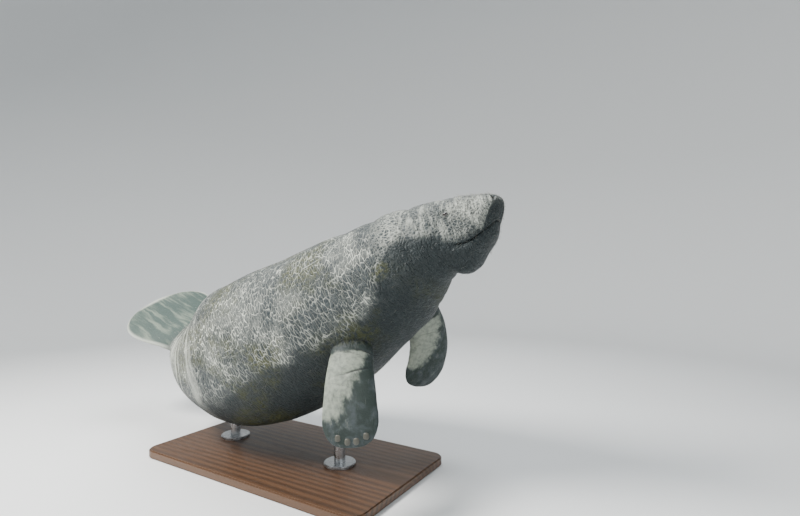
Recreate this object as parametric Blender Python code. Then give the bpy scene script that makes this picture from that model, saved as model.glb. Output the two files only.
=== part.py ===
"""Life-size display model of a swimming manatee, held by two short rods on a flat base.

The animal heads along +X. Its chest is pitched nose up, its head is nearly level and its tail paddle
is flexed up behind it. Units are metres, +Z is up, and the origin is the middle of the base's underside.
"""

import math

import bmesh
import bpy
import numpy as np
from mathutils import Matrix, Vector

# Clearance between pieces that touch.
GAP = 0.0003

# The snout's place over the middle of the base's underside.
SNOUT_PLACE = np.array([1.10, 0.0, 1.22])

# Places along the body. Each has its distance from the snout along the backbone, its half width, the
# height of the back over the backbone, the depth of the underside below it, the squareness of the
# section (2 is an ellipse), and how far the section's plane leans forward at its top.
BODY_LENGTH = 2.78
BODY_PLACES = {
    "snout": (0.000, 0.066, 0.041, 0.130, 2.5, 0.43),
    "lips": (0.055, 0.101, 0.056, 0.158, 2.45, 0.36),
    "chin": (0.110, 0.116, 0.073, 0.205, 2.5, 0.28),
    "mouth corner": (0.165, 0.121, 0.090, 0.214, 2.4, 0.18),
    "eyes": (0.215, 0.130, 0.101, 0.208, 2.3, 0.10),
    "cheeks": (0.260, 0.143, 0.112, 0.194, 2.2, 0.05),
    "throat": (0.320, 0.166, 0.128, 0.208, 2.15, 0.0),
    "nape": (0.450, 0.215, 0.174, 0.262, 2.1, 0.0),
    "neck root": (0.590, 0.262, 0.206, 0.315, 2.1, 0.0),
    "shoulders": (0.770, 0.304, 0.258, 0.340, 2.15, 0.0),
    "chest": (1.000, 0.350, 0.306, 0.372, 2.25, 0.0),
    "belly": (1.275, 0.365, 0.380, 0.370, 2.35, 0.0),
    "loins": (1.550, 0.351, 0.417, 0.330, 2.4, 0.0),
    "hips": (1.820, 0.274, 0.263, 0.232, 2.35, 0.0),
    "tail root": (2.050, 0.219, 0.204, 0.178, 2.15, 0.0),
    "tail's narrowest": (2.190, 0.173, 0.108, 0.100, 2.0, 0.0),
    "paddle's root": (2.325, 0.200, 0.063, 0.062, 1.9, 0.0),
    "paddle's flare": (2.460, 0.251, 0.038, 0.038, 1.8, 0.0),
    "paddle's widest": (2.580, 0.276, 0.024, 0.024, 1.8, 0.0),
    "paddle's end": (2.780, 0.309, 0.014, 0.014, 1.8, 0.0),
}

# How the backbone turns. Each place has its distance from the snout, then in degrees its pitch (nose
# up), its yaw (nose to the animal's left) and its roll (left side up).
BACKBONE_TURNS = {
    "snout": (0.0, 19.2, 7.2, -1.3),
    "skull": (0.20, 19.2, 7.2, -1.3),
    "neck": (0.45, 30.7, -6.2, -1.3),
    "shoulders": (0.77, 33.0, 0.0, -1.3),
    "belly": (1.275, 33.0, 0.0, -1.3),
    "loins": (1.685, 10.1, -4.1, 5.2),
    "tail root": (2.05, -17.0, -19.7, 15.0),
    "paddle": (2.325, -20.6, -4.2, 25.9),
    "paddle's end": (2.78, -20.6, -4.2, 25.9),
}
BACKBONE_STEPS = 600

# The muzzle's front and the paddle's end are rounded over these lengths, with these powers. The
# muzzle's rings close on a point of the upper lip at this height over the backbone.
MUZZLE_ROUND = 0.068
MUZZLE_POWER = 2.3
MUZZLE_MIDDLE = 0.004
MUZZLE_TIP = 0.0006
MUZZLE_RINGS = np.array([0.18, 0.40, 0.62, 0.80, 0.92])
PADDLE_ROUND = 0.275
PADDLE_POWER = 2.2
PADDLE_EDGE = 0.3
PADDLE_TIP = 0.0012
PADDLE_LAST_RING = 0.996

# The body is parted here, by distance from the snout, and lofted with rings about this far apart.
BODY_NODES = {
    "head": (0.0, 0.40, 0.0135),
    "neck": (0.40, 0.545, 0.026),
    "chest": (0.545, 1.05, 0.046),
    "abdomen": (1.05, 1.60, 0.055),
    "tail_stock": (1.60, 2.19, 0.042),
    "tail_paddle": (2.19, 2.78, 0.040),
}
BODY_SIDES = 44
PADDLE_END_RINGS = 9

# The line of the mouth in the head's own side view, from the front to the corner: distance ahead of
# the snout's backbone point, and height over it.
MOUTH_LINE = {
    "corner": (-0.204, -0.102),
    "behind": (-0.155, -0.108),
    "side": (-0.104, -0.097),
    "pad": (-0.062, -0.078),
    "front": (-0.020, -0.056),
    "centre": (0.060, -0.054),
}
MOUTH_CUT = 0.0035
MOUTH_CUT_END = 0.0006
MOUTH_CUT_GROWTH = 0.12
MOUTH_CUT_REACH = 0.20
MOUTH_DEPTH = 0.018
MOUTH_CORE = (0.004, 0.34, 22, 24)

# The lips stand out beside the mouth line and dip at it: height over the line, swelling, half width.
LIPS = {
    "upper pad": (0.040, 0.005, 0.034),
    "line": (0.000, -0.008, 0.012),
    "lower lip": (-0.026, 0.006, 0.018),
}
LIPS_END = (0.180, 0.012)

# The lower jaw narrows by this share over this height under the mouth line, and its section is rounder
# than the upper one by this share. It fades out behind the mouth's corner.
JAW_NARROW = 0.11
JAW_HEIGHT = 0.060
JAW_END = (0.205, 0.020)
UNDER_ROUNDER = 0.6

# Folds round the neck, shallower underneath: distance from the snout, depth, half width.
NECK_FOLDS = {
    "behind the skull": (0.345, 0.008, 0.022),
    "at the neck's root": (0.490, 0.008, 0.032),
}
NECK_FOLDS_UNDER = 0.35

# Nostrils on the top front of the muzzle: distance from the snout, angle up from the side, half sizes
# (lengthwise, across, deep), and the slant of the slot in degrees.
NOSTRIL_DISTANCE = 0.030
NOSTRIL_ANGLE = 58
NOSTRIL_SIZE = (0.0085, 0.0150, 0.0120)
NOSTRIL_SLANT = 25

# Eyes: the place on the skin by distance from the snout and by angle up from the side.
EYE_DISTANCE = 0.200
EYE_ANGLE = 27.3
EYE_RADIUS = 0.0115
EYE_SINK = 0.0065
LID_RADIUS = 0.0118
LID_THICKNESS = 0.0042
LID_HEIGHT = 0.78
LID_SINK = 0.0018
LID_STEPS = (20, 8)

# Flippers. Each grows from the skin at a distance from the snout and an angle round the section, where
# 0 is the left side and 90 the back. Directions are azimuth and elevation in degrees: at the root,
# at the tip, and of the chord towards the leading edge. outer is the side of the flipper's back.
FLIPPER_SINK = 0.030
FLIPPERS = {
    "right": {
        "distance": 0.79, "angle": 231, "root": (-58, -38), "tip": (-51, -74), "chord": (31, 2),
        "length": 0.423, "width": 1.03, "outer": 1,
    },
    "left": {
        "distance": 0.655, "angle": 329.4, "root": (72.6, -50), "tip": (192.7, -56.4),
        "chord": (38.6, 40.2), "length": 0.472, "width": 1.047, "outer": -1,
    },
}
# Sections along a flipper: share of its length, reach of the leading and trailing edge, half thickness.
FLIPPER_SECTIONS = {
    "root": (0.00, 0.078, 0.082, 0.052),
    "elbow": (0.15, 0.080, 0.092, 0.045),
    "forearm": (0.35, 0.086, 0.099, 0.036),
    "wrist": (0.60, 0.096, 0.103, 0.026),
    "palm": (0.80, 0.104, 0.106, 0.019),
    "tip": (1.00, 0.102, 0.102, 0.012),
}
FLIPPER_TIP_START = 0.68
FLIPPER_TIP_POWER = 2.9
FLIPPER_SIDES = 24
FLIPPER_RINGS = 13
FLIPPER_TIP_RINGS = 6
FLIPPER_LAST_RING = 0.995
FLIPPER_TIP = 0.0003
FLIPPER_EDGE = 0.25

# Nails on the back of each flipper's end: share of the length, share of the chord, size.
NAIL_PLACES = [(0.905, 0.64), (0.945, 0.28), (0.947, -0.14), (0.915, -0.52)]
NAIL_SIZE = (0.0112, 0.0125, 0.0040)

# The stand: a bevelled plate, a round foot under each rod, and two rods up to the belly.
BASE_SIZE = (1.34, 0.74, 0.040)
BASE_CORNER = 0.060
BASE_EDGE = 0.005
ROD_RADIUS = 0.026
ROD_SIDES = 32
ROD_PLACES = {"front": 0.30, "rear": -0.42}
ROD_TRIM_HEIGHT = 0.73
FOOT_RADIUS = 0.075
FOOT_HEIGHT = 0.014
FOOT_EDGE = 0.003

# Colour, roughness and metallic value of each finish.
FINISHES = {
    "skin": ((0.24, 0.25, 0.23), 0.62, 0.0),
    "paddle_skin": ((0.30, 0.31, 0.28), 0.60, 0.0),
    "flipper_skin": ((0.33, 0.35, 0.33), 0.60, 0.0),
    "eye": ((0.03, 0.025, 0.02), 0.08, 0.0),
    "nail": ((0.55, 0.50, 0.40), 0.40, 0.0),
    "stand_wood": ((0.20, 0.12, 0.07), 0.45, 0.0),
    "stand_steel": ((0.62, 0.63, 0.64), 0.30, 1.0),
}


def clear_scene():
    for thing in list(bpy.data.objects):
        bpy.data.objects.remove(thing)


def finish(name):
    """The named material, made on first use."""
    material = bpy.data.materials.get(name)
    if material is None:
        colour, roughness, metallic = FINISHES[name]
        material = bpy.data.materials.new(name)
        material.use_nodes = True
        shader = material.node_tree.nodes["Principled BSDF"]
        shader.inputs["Base Color"].default_value = (*colour, 1.0)
        shader.inputs["Roughness"].default_value = roughness
        shader.inputs["Metallic"].default_value = metallic
    return material


def smooth_curve(known, values, wanted):
    """Values at the wanted places, on a smooth curve through the known ones that never overshoots."""
    steps = np.diff(known)
    slopes = np.diff(values) / steps
    tangents = np.zeros(len(known))
    tangents[0] = slopes[0]
    tangents[-1] = slopes[-1]
    for i in range(1, len(known) - 1):
        if slopes[i - 1] * slopes[i] > 0:
            before = 2 * steps[i] + steps[i - 1]
            after = steps[i] + 2 * steps[i - 1]
            tangents[i] = (before + after) / (before / slopes[i - 1] + after / slopes[i])
    i = np.clip(np.searchsorted(known, wanted) - 1, 0, len(known) - 2)
    t = np.clip((wanted - known[i]) / steps[i], 0, 1)
    from_start = (1 + 2 * t) * (1 - t) ** 2 * values[i] + t * (1 - t) ** 2 * steps[i] * tangents[i]
    from_end = t * t * (3 - 2 * t) * values[i + 1] + t * t * (t - 1) * steps[i] * tangents[i + 1]
    return from_start + from_end


def along(places, column, wanted):
    """One column of a table of named places, at the wanted positions of its first column."""
    rows = np.array(sorted(places.values()))
    return smooth_curve(rows[:, 0], rows[:, column], np.asarray(wanted, float))


def make_backbone():
    """The backbone as distances, points, and the directions ahead, left and up at each."""
    distance = np.linspace(0, BODY_LENGTH, BACKBONE_STEPS + 1)
    pitch, yaw, roll = (np.radians(along(BACKBONE_TURNS, column, distance)) for column in (1, 2, 3))
    ahead = np.stack([np.cos(pitch) * np.cos(yaw), np.cos(pitch) * np.sin(yaw), np.sin(pitch)], 1)
    level = np.stack([-np.sin(yaw), np.cos(yaw), np.zeros_like(yaw)], 1)
    upright = np.cross(ahead, level)
    left = level * np.cos(roll)[:, None] + upright * np.sin(roll)[:, None]
    up = np.cross(ahead, left)
    steps = (ahead[1:] + ahead[:-1]) / 2 * (distance[1] - distance[0])
    points = SNOUT_PLACE - np.concatenate([np.zeros((1, 3)), np.cumsum(steps, 0)])
    return distance, points, ahead, left, up


BACKBONE = make_backbone()


def backbone_at(distance):
    """Point, ahead, left and up at each distance from the snout."""
    known = BACKBONE[0]
    return [
        np.stack([np.interp(distance, known, table[:, axis]) for axis in range(3)], -1)
        for table in BACKBONE[1:]
    ]


def plain_skin(distance, angle):
    """Points of the body's plain form, with their height over the line of the mouth."""
    width, rise, drop, square, lean = (along(BODY_PLACES, column, distance) for column in range(1, 6))
    near_front = np.clip(1 - distance / MUZZLE_ROUND, 0, 1)
    front = (1 - near_front**MUZZLE_POWER) ** (1 / MUZZLE_POWER)
    near_end = np.clip((distance - BODY_LENGTH + PADDLE_ROUND) / PADDLE_ROUND, 0, 1)
    end = np.sqrt(1 - near_end**PADDLE_POWER)
    square = np.where(np.sin(angle) < 0, 2 + (square - 2) * UNDER_ROUNDER, square)
    across = np.sign(np.cos(angle)) * np.abs(np.cos(angle)) ** (2 / square)
    upward = np.sign(np.sin(angle)) * np.abs(np.sin(angle)) ** (2 / square)
    middle = (rise - drop) / 2 * front + MUZZLE_MIDDLE * (1 - front)
    height = middle + upward * (rise + drop) / 2 * front * np.clip(end, PADDLE_EDGE, 1)
    forward = lean * height
    under_line = along(MOUTH_LINE, 1, forward - distance) - height
    jaw = ease(under_line / JAW_HEIGHT) * fade(distance, JAW_END)
    side = across * width * front * end * (1 - JAW_NARROW * jaw)
    point, ahead, left, up = backbone_at(distance)
    place = point + side[..., None] * left + height[..., None] * up + forward[..., None] * ahead
    return place, -under_line


def outward(distance, angle):
    """Unit normals of the plain form, pointing out of the body."""
    small = 0.0005
    distance = np.clip(distance, 2 * small, BODY_LENGTH - 2 * small)
    lengthwise = plain_skin(distance + small, angle)[0] - plain_skin(distance - small, angle)[0]
    round_it = plain_skin(distance, angle + small)[0] - plain_skin(distance, angle - small)[0]
    normal = np.cross(lengthwise, round_it)
    return normal / np.maximum(np.linalg.norm(normal, axis=-1, keepdims=True), 1e-12)


def bump(value, centre, reach):
    """A smooth hump of height 1 at the centre."""
    return np.exp(-(((value - centre) / reach) ** 2))


def ease(value):
    """0 up to 0, 1 from 1 on, and smooth between."""
    value = np.clip(value, 0, 1)
    return value * value * (3 - 2 * value)


def fade(value, end):
    """1 well before the end's place, and 0 well past it."""
    place, softness = end
    return 1 / (1 + np.exp(np.clip((value - place) / softness, -60, 60)))


def swelling(distance, angle):
    """How far the lips and the folds of the neck stand out of the plain form."""
    over_line = plain_skin(distance, angle)[1]
    lips = sum(swell * bump(over_line, height, reach) for height, swell, reach in LIPS.values())
    total = lips * fade(distance, LIPS_END)
    for place, depth, reach in NECK_FOLDS.values():
        share = NECK_FOLDS_UNDER + (1 - NECK_FOLDS_UNDER) * ease(1 + np.sin(angle))
        total = total - depth * bump(distance, place, reach) * share
    return total


def skin(distance, angle, lift=0.0):
    """Points of the finished form, moved out of it by lift."""
    distance, angle = np.broadcast_arrays(np.asarray(distance, float), np.asarray(angle, float))
    out = outward(distance, angle)
    return plain_skin(distance, angle)[0] + out * (swelling(distance, angle) + lift)[..., None]


def ring_angles(sides):
    return np.linspace(0, 2 * math.pi, sides, endpoint=False)


def ring_distances(name):
    """Where a body node's rings lie, closer together on the muzzle's round and the paddle's end."""
    start, end, step = BODY_NODES[name]
    if name == "head":
        front = MUZZLE_ROUND * (1 - (1 - MUZZLE_RINGS**MUZZLE_POWER) ** (1 / MUZZLE_POWER))
        plain = np.linspace(front[-1] + step, end, round((end - front[-1]) / step))
        return np.concatenate([front, plain])
    if name == "tail_paddle":
        flat_end = BODY_LENGTH - PADDLE_ROUND
        turn = np.linspace(0, math.asin(PADDLE_LAST_RING), PADDLE_END_RINGS)
        plain = np.linspace(start, flat_end, round((flat_end - start) / step) + 1)
        return np.concatenate([plain, flat_end + PADDLE_ROUND * np.sin(turn[1:])])
    return np.linspace(start, end, round((end - start) / step) + 1)


def body_rings(name, lift=0.0, gap=GAP):
    """The rings of one body node, with half a gap taken off each end where it meets another node."""
    start, end, _ = BODY_NODES[name]
    distances = ring_distances(name)
    rings = skin(distances[:, None], ring_angles(BODY_SIDES)[None], lift)
    ahead = backbone_at(np.array([start, end]))[1]
    if start > 0:
        rings[0] -= ahead[0] * gap / 2
    if end < BODY_LENGTH:
        rings[-1] += ahead[1] * gap / 2
    return rings


def loft(name, rings, first_tip=None, last_tip=None):
    """A closed mesh object through rings of points, each end closed by a fan to its middle or tip."""
    shape = bmesh.new()
    grid = [[shape.verts.new(point) for point in ring] for ring in rings]
    sides = len(grid[0])
    for ring, following in zip(grid, grid[1:]):
        for i in range(sides):
            j = (i + 1) % sides
            shape.faces.new((ring[i], following[i], following[j], ring[j]))
    for ring, points, tip in ((grid[0], rings[0], first_tip), (grid[-1], rings[-1], last_tip)):
        middle = shape.verts.new(points.mean(0) if tip is None else tip)
        for i in range(sides):
            shape.faces.new((ring[i], ring[(i + 1) % sides], middle))
    return make_object(name, shape)


def make_object(name, shape):
    """A scene object holding the triangulated mesh, with its faces pointing out."""
    bmesh.ops.triangulate(shape, faces=shape.faces)
    bmesh.ops.recalc_face_normals(shape, faces=shape.faces)
    mesh = bpy.data.meshes.new(name)
    shape.to_mesh(mesh)
    shape.free()
    piece = bpy.data.objects.new(name, mesh)
    bpy.context.scene.collection.objects.link(piece)
    return piece


def combine(piece, tools, operation):
    """Joins the tools to the piece or cuts them out of it, and keeps the largest closed surface."""
    for tool in tools:
        modifier = piece.modifiers.new(operation, "BOOLEAN")
        modifier.operation = operation
        modifier.object = tool
    bpy.context.view_layer.update()
    graph = bpy.context.evaluated_depsgraph_get()
    done = bpy.data.meshes.new_from_object(piece.evaluated_get(graph))
    piece.modifiers.clear()
    old = piece.data
    piece.data = done
    bpy.data.meshes.remove(old)
    for tool in tools:
        bpy.data.objects.remove(tool)
    keep_largest(piece.data)


def keep_largest(mesh):
    """Drops every closed surface but the one that holds the most."""
    shape = bmesh.new()
    shape.from_mesh(mesh)
    bmesh.ops.triangulate(shape, faces=shape.faces)
    unseen = set(shape.faces)
    groups = []
    while unseen:
        front = [unseen.pop()]
        group = list(front)
        while front:
            face = front.pop()
            for edge in face.edges:
                for neighbour in edge.link_faces:
                    if neighbour in unseen:
                        unseen.remove(neighbour)
                        front.append(neighbour)
                        group.append(neighbour)
        groups.append(group)

    def held(group):
        return abs(sum(f.verts[0].co.dot(f.verts[1].co.cross(f.verts[2].co)) for f in group))

    best = max(groups, key=held)
    for group in groups:
        if group is not best:
            bmesh.ops.delete(shape, geom=group, context="FACES")
    shape.to_mesh(mesh)
    shape.free()


def dress(piece, material_name, crease=40):
    """Gives a finished piece its material and smooth shading."""
    piece.data.materials.clear()
    piece.data.materials.append(finish(material_name))
    piece.data.shade_smooth()
    piece.data.set_sharp_from_angle(angle=math.radians(crease))


def head_axes():
    """The snout's backbone point and the head's directions ahead, left and up."""
    point, ahead, left, up = (table[0] for table in backbone_at(np.array([0.0])))
    return point, ahead, left, up


def place_matrix(origin, first, second, third):
    """A transform whose axes are the three directions, at the origin point."""
    columns = np.eye(4)
    columns[:3, 0] = first
    columns[:3, 1] = second
    columns[:3, 2] = third
    columns[:3, 3] = origin
    return Matrix(columns.tolist())


def ball(name, radius, matrix, squash=(1, 1, 1), segments=20, rings=12):
    """A sphere or a squashed sphere at a place."""
    shape = bmesh.new()
    bmesh.ops.create_uvsphere(shape, u_segments=segments, v_segments=rings, radius=radius)
    bmesh.ops.scale(shape, vec=Vector(squash), verts=shape.verts)
    bmesh.ops.transform(shape, matrix=matrix, verts=shape.verts)
    return make_object(name, shape)


def skin_frame(side, distance, angle):
    """A spot on the head's skin, and the directions ahead, up along the skin, and out of the head."""
    angle = math.radians(angle if side == "left" else 180 - angle)
    spot = skin(distance, angle)
    out = outward(np.array(distance), np.array(angle))
    ahead = head_axes()[1]
    ahead = ahead - out * (ahead @ out)
    ahead /= np.linalg.norm(ahead)
    up = np.cross(out, ahead)
    if up[2] < 0:
        up = -up
    return spot, ahead, up, out


def lid_ring(side):
    """The ring of skin round an eye, wider than it is high."""
    spot, ahead, up, out = skin_frame(side, EYE_DISTANCE, EYE_ANGLE)
    round_steps, tube_steps = LID_STEPS
    rings = []
    for turn in ring_angles(round_steps):
        level = ahead * math.cos(turn)
        upright = up * math.sin(turn)
        centre = spot - out * LID_SINK + LID_RADIUS * (level + upright * LID_HEIGHT)
        rings.append([
            centre + LID_THICKNESS * ((level + upright) * math.cos(roll) + out * math.sin(roll))
            for roll in ring_angles(tube_steps)
        ])
    shape = bmesh.new()
    grid = [[shape.verts.new(point) for point in ring] for ring in rings]
    for i in range(round_steps):
        for j in range(tube_steps):
            following = (i + 1) % round_steps
            beside = (j + 1) % tube_steps
            corners = (grid[i][j], grid[following][j], grid[following][beside], grid[i][beside])
            shape.faces.new(corners)
    return make_object("lids", shape)


def eye_ball(name, side, lift):
    spot, ahead, up, out = skin_frame(side, EYE_DISTANCE, EYE_ANGLE)
    matrix = place_matrix(spot - out * EYE_SINK, ahead, up, out)
    return ball(name, EYE_RADIUS + lift, matrix, segments=16, rings=10)


def nostril_cutter(side):
    """A flat ball sunk in the muzzle, its slot slanting back from the middle."""
    spot, ahead, across, out = skin_frame(side, NOSTRIL_DISTANCE, NOSTRIL_ANGLE)
    slant = math.radians(NOSTRIL_SLANT)
    lengthwise = ahead * math.cos(slant) + across * math.sin(slant)
    crosswise = np.cross(out, lengthwise)
    return ball("nostril", 1.0, place_matrix(spot, lengthwise, crosswise, out), NOSTRIL_SIZE, 14, 8)


def mouth_cutter():
    """A thin curved wedge along the mouth line, right across the head, open at the front."""
    origin, ahead, left, up = head_axes()
    places = np.linspace(MOUTH_LINE["corner"][0], MOUTH_LINE["centre"][0], 19)
    heights = along(MOUTH_LINE, 1, places)
    half = np.minimum(MOUTH_CUT, MOUTH_CUT_END + (places - places[0]) * MOUTH_CUT_GROWTH)
    side = left * MOUTH_CUT_REACH
    corners = ((1, 1), (-1, 1), (-1, -1), (1, -1))
    rings = []
    for place, height, thick in zip(places, heights, half):
        middle = origin + ahead * place + up * height
        rings.append(np.array([middle + side * a + up * thick * b for a, b in corners]))
    return loft("mouth", np.array(rings))


def mouth_core():
    """What the mouth's cut leaves alone: the head's own form, taken in by the depth of the cut."""
    start, end, rings, sides = MOUTH_CORE
    distances = np.linspace(start, end, rings)
    return loft("core", skin(distances[:, None], ring_angles(sides)[None], -MOUTH_DEPTH))


def make_body():
    pieces = {}
    for name in BODY_NODES:
        rings = body_rings(name)
        tips = {}
        if name == "head":
            tips["first_tip"] = rings[0].mean(0) + head_axes()[1] * MUZZLE_TIP
        if name == "tail_paddle":
            ahead = backbone_at(np.array([BODY_LENGTH]))[1][0]
            tips["last_tip"] = rings[-1].mean(0) - ahead * PADDLE_TIP
        pieces[name] = loft(name, rings, **tips)
    return pieces


def finish_head(head):
    """Adds the lids, and cuts the eye sockets, the nostrils and the line of the mouth."""
    sides = ("left", "right")
    combine(head, [lid_ring(side) for side in sides], "UNION")
    combine(head, [eye_ball("socket", side, GAP) for side in sides], "DIFFERENCE")
    combine(head, [nostril_cutter(side) for side in sides], "DIFFERENCE")
    slit = mouth_cutter()
    combine(slit, [mouth_core()], "DIFFERENCE")
    combine(head, [slit], "DIFFERENCE")


def direction(azimuth, elevation):
    azimuth = math.radians(azimuth)
    elevation = math.radians(elevation)
    level = math.cos(elevation)
    return np.array([level * math.cos(azimuth), level * math.sin(azimuth), math.sin(elevation)])


def flipper_frame(side, share):
    """Middle, lengthwise, chord and thickness directions of a flipper at shares of its length."""
    plan = FLIPPERS[side]
    fine = np.linspace(0, 1, 201)
    root_way = direction(*plan["root"])
    tip_way = direction(*plan["tip"])
    ways = root_way * (1 - fine[:, None]) + tip_way * fine[:, None]
    ways /= np.linalg.norm(ways, axis=1, keepdims=True)
    steps = (ways[1:] + ways[:-1]) / 2 * plan["length"] * (fine[1] - fine[0])
    start = skin(plan["distance"], math.radians(plan["angle"]), -FLIPPER_SINK)
    line = start + np.concatenate([np.zeros((1, 3)), np.cumsum(steps, 0)])
    middle = np.stack([np.interp(share, fine, line[:, axis]) for axis in range(3)], -1)
    way = np.stack([np.interp(share, fine, ways[:, axis]) for axis in range(3)], -1)
    way /= np.linalg.norm(way, axis=-1, keepdims=True)
    chord = direction(*plan["chord"])
    chord = chord - (way @ chord)[..., None] * way
    chord /= np.linalg.norm(chord, axis=-1, keepdims=True)
    return middle, way, chord, np.cross(way, chord)


def flipper_skin(side, share, angle, lift=0.0):
    """Points of a flipper's surface. Angle 0 is its leading edge, and the tip is rounded off."""
    share, angle = np.broadcast_arrays(np.asarray(share, float), np.asarray(angle, float))
    width = FLIPPERS[side]["width"]
    lead, trail, thick = (along(FLIPPER_SECTIONS, column, share) * width for column in (1, 2, 3))
    near_tip = np.clip((share - FLIPPER_TIP_START) / (1 - FLIPPER_TIP_START), 0, 1)
    narrow = np.maximum(1 - near_tip**FLIPPER_TIP_POWER, 0) ** (1 / FLIPPER_TIP_POWER)
    middle, _, chord, normal = flipper_frame(side, share)
    across = np.cos(angle) * np.where(np.cos(angle) > 0, lead, trail) * narrow
    through = np.sin(angle) * thick * np.clip(narrow, FLIPPER_EDGE, 1)
    across = across + lift * np.cos(angle)
    through = through + lift * np.sin(angle)
    return middle + across[..., None] * chord + through[..., None] * normal


def flipper_shares():
    plain = np.linspace(0, FLIPPER_TIP_START, FLIPPER_RINGS)
    turn = np.linspace(0, math.asin(FLIPPER_LAST_RING), FLIPPER_TIP_RINGS)
    return np.concatenate([plain, FLIPPER_TIP_START + (1 - FLIPPER_TIP_START) * np.sin(turn[1:])])


def make_flipper(side):
    """A flipper grown from the chest, cut off one gap clear of it."""
    shares = flipper_shares()
    rings = flipper_skin(side, shares[:, None], ring_angles(FLIPPER_SIDES)[None])
    tip, way, _, _ = flipper_frame(side, np.array([1.0]))
    flipper = loft("flipper_" + side, rings, last_tip=tip[0] + way[0] * FLIPPER_TIP)
    combine(flipper, [loft("chest_clearance", body_rings("chest", GAP))], "DIFFERENCE")
    return flipper


def grown(piece, lift):
    """A copy of a piece, moved out along its own normals."""
    shape = bmesh.new()
    shape.from_mesh(piece.data)
    shape.normal_update()
    moves = [vertex.normal * lift for vertex in shape.verts]
    for vertex, move in zip(shape.verts, moves):
        vertex.co += move
    return make_object("clearance", shape)


def make_nail(side, number, flipper):
    """A domed nail on the back of the flipper's end, cut off one gap clear of the skin."""
    share, chord_share = NAIL_PLACES[number]
    outer = FLIPPERS[side]["outer"]
    angle = outer * math.acos(chord_share)
    spot = flipper_skin(side, share, angle)
    _, way, chord, normal = flipper_frame(side, np.array([share]))
    matrix = place_matrix(spot, chord[0], way[0], normal[0] * outer)
    nail = ball(f"nail_{side}_{number + 1}", 1.0, matrix, NAIL_SIZE, 12, 8)
    combine(nail, [grown(flipper, GAP)], "DIFFERENCE")
    return nail


def make_base():
    """A plate with round corners, a fine bevel on its edges, and its underside at height 0."""
    length, width, height = BASE_SIZE
    shape = bmesh.new()
    corners = []
    for turn in (0, 90, 180, 270):
        middle_angle = math.radians(turn + 45)
        x = math.copysign(length / 2 - BASE_CORNER, math.cos(middle_angle))
        y = math.copysign(width / 2 - BASE_CORNER, math.sin(middle_angle))
        for step in range(7):
            angle = math.radians(turn + 15 * step)
            spot = (x + BASE_CORNER * math.cos(angle), y + BASE_CORNER * math.sin(angle), 0)
            corners.append(shape.verts.new(spot))
    underside = shape.faces.new(corners)
    walls = bmesh.ops.extrude_face_region(shape, geom=[underside])["geom"]
    top = [part for part in walls if isinstance(part, bmesh.types.BMVert)]
    bmesh.ops.translate(shape, vec=(0, 0, height), verts=top)
    rims = [edge for edge in shape.edges if abs(edge.verts[0].co.z - edge.verts[1].co.z) < 1e-6]
    bmesh.ops.bevel(shape, geom=rims, offset=BASE_EDGE, segments=2, affect="EDGES")
    return make_object("stand_base", shape)


def cylinder(name, radius, low, high, x, edge=0.0):
    """An upright cylinder on the middle line, with its rims bevelled by edge."""
    shape = bmesh.new()
    bmesh.ops.create_cone(
        shape, cap_ends=True, segments=ROD_SIDES, radius1=radius, radius2=radius, depth=high - low,
        matrix=Matrix.Translation((x, 0, (low + high) / 2)),
    )
    if edge:
        rims = [e for e in shape.edges if abs(e.verts[0].co.z - e.verts[1].co.z) < 1e-6]
        bmesh.ops.bevel(shape, geom=rims, offset=edge, segments=2, affect="EDGES")
    return make_object(name, shape)


def make_foot(place):
    low = BASE_SIZE[2] + GAP
    high = low + FOOT_HEIGHT
    return cylinder("stand_foot_" + place, FOOT_RADIUS, low, high, ROD_PLACES[place], FOOT_EDGE)


def make_rod(place):
    """A rod from its foot up to the belly, cut off one gap clear of the skin."""
    low = BASE_SIZE[2] + GAP + FOOT_HEIGHT + GAP
    rod = cylinder("stand_rod_" + place, ROD_RADIUS, low, ROD_TRIM_HEIGHT, ROD_PLACES[place])
    clearances = []
    for name in ("chest", "abdomen", "tail_stock"):
        clearances.append(loft(name + "_clearance", body_rings(name, GAP, -2 * GAP)))
    combine(rod, clearances, "DIFFERENCE")
    return rod


def main():
    clear_scene()
    body = make_body()
    finish_head(body["head"])
    for name, piece in body.items():
        dress(piece, "paddle_skin" if name == "tail_paddle" else "skin")
    for side in ("left", "right"):
        dress(eye_ball("eye_" + side, side, 0.0), "eye")
        flipper = make_flipper(side)
        dress(flipper, "flipper_skin")
        for number in range(len(NAIL_PLACES)):
            dress(make_nail(side, number, flipper), "nail")
    dress(make_base(), "stand_wood")
    for place in ROD_PLACES:
        dress(make_foot(place), "stand_steel")
        dress(make_rod(place), "stand_steel")


main()
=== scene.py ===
"""The looks of the life-size manatee: its hide, hairs, eyes, nails and stand, the floor and the light."""

import math

import bmesh
import bpy
import numpy as np
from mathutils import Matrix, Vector
from mathutils.kdtree import KDTree


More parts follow.
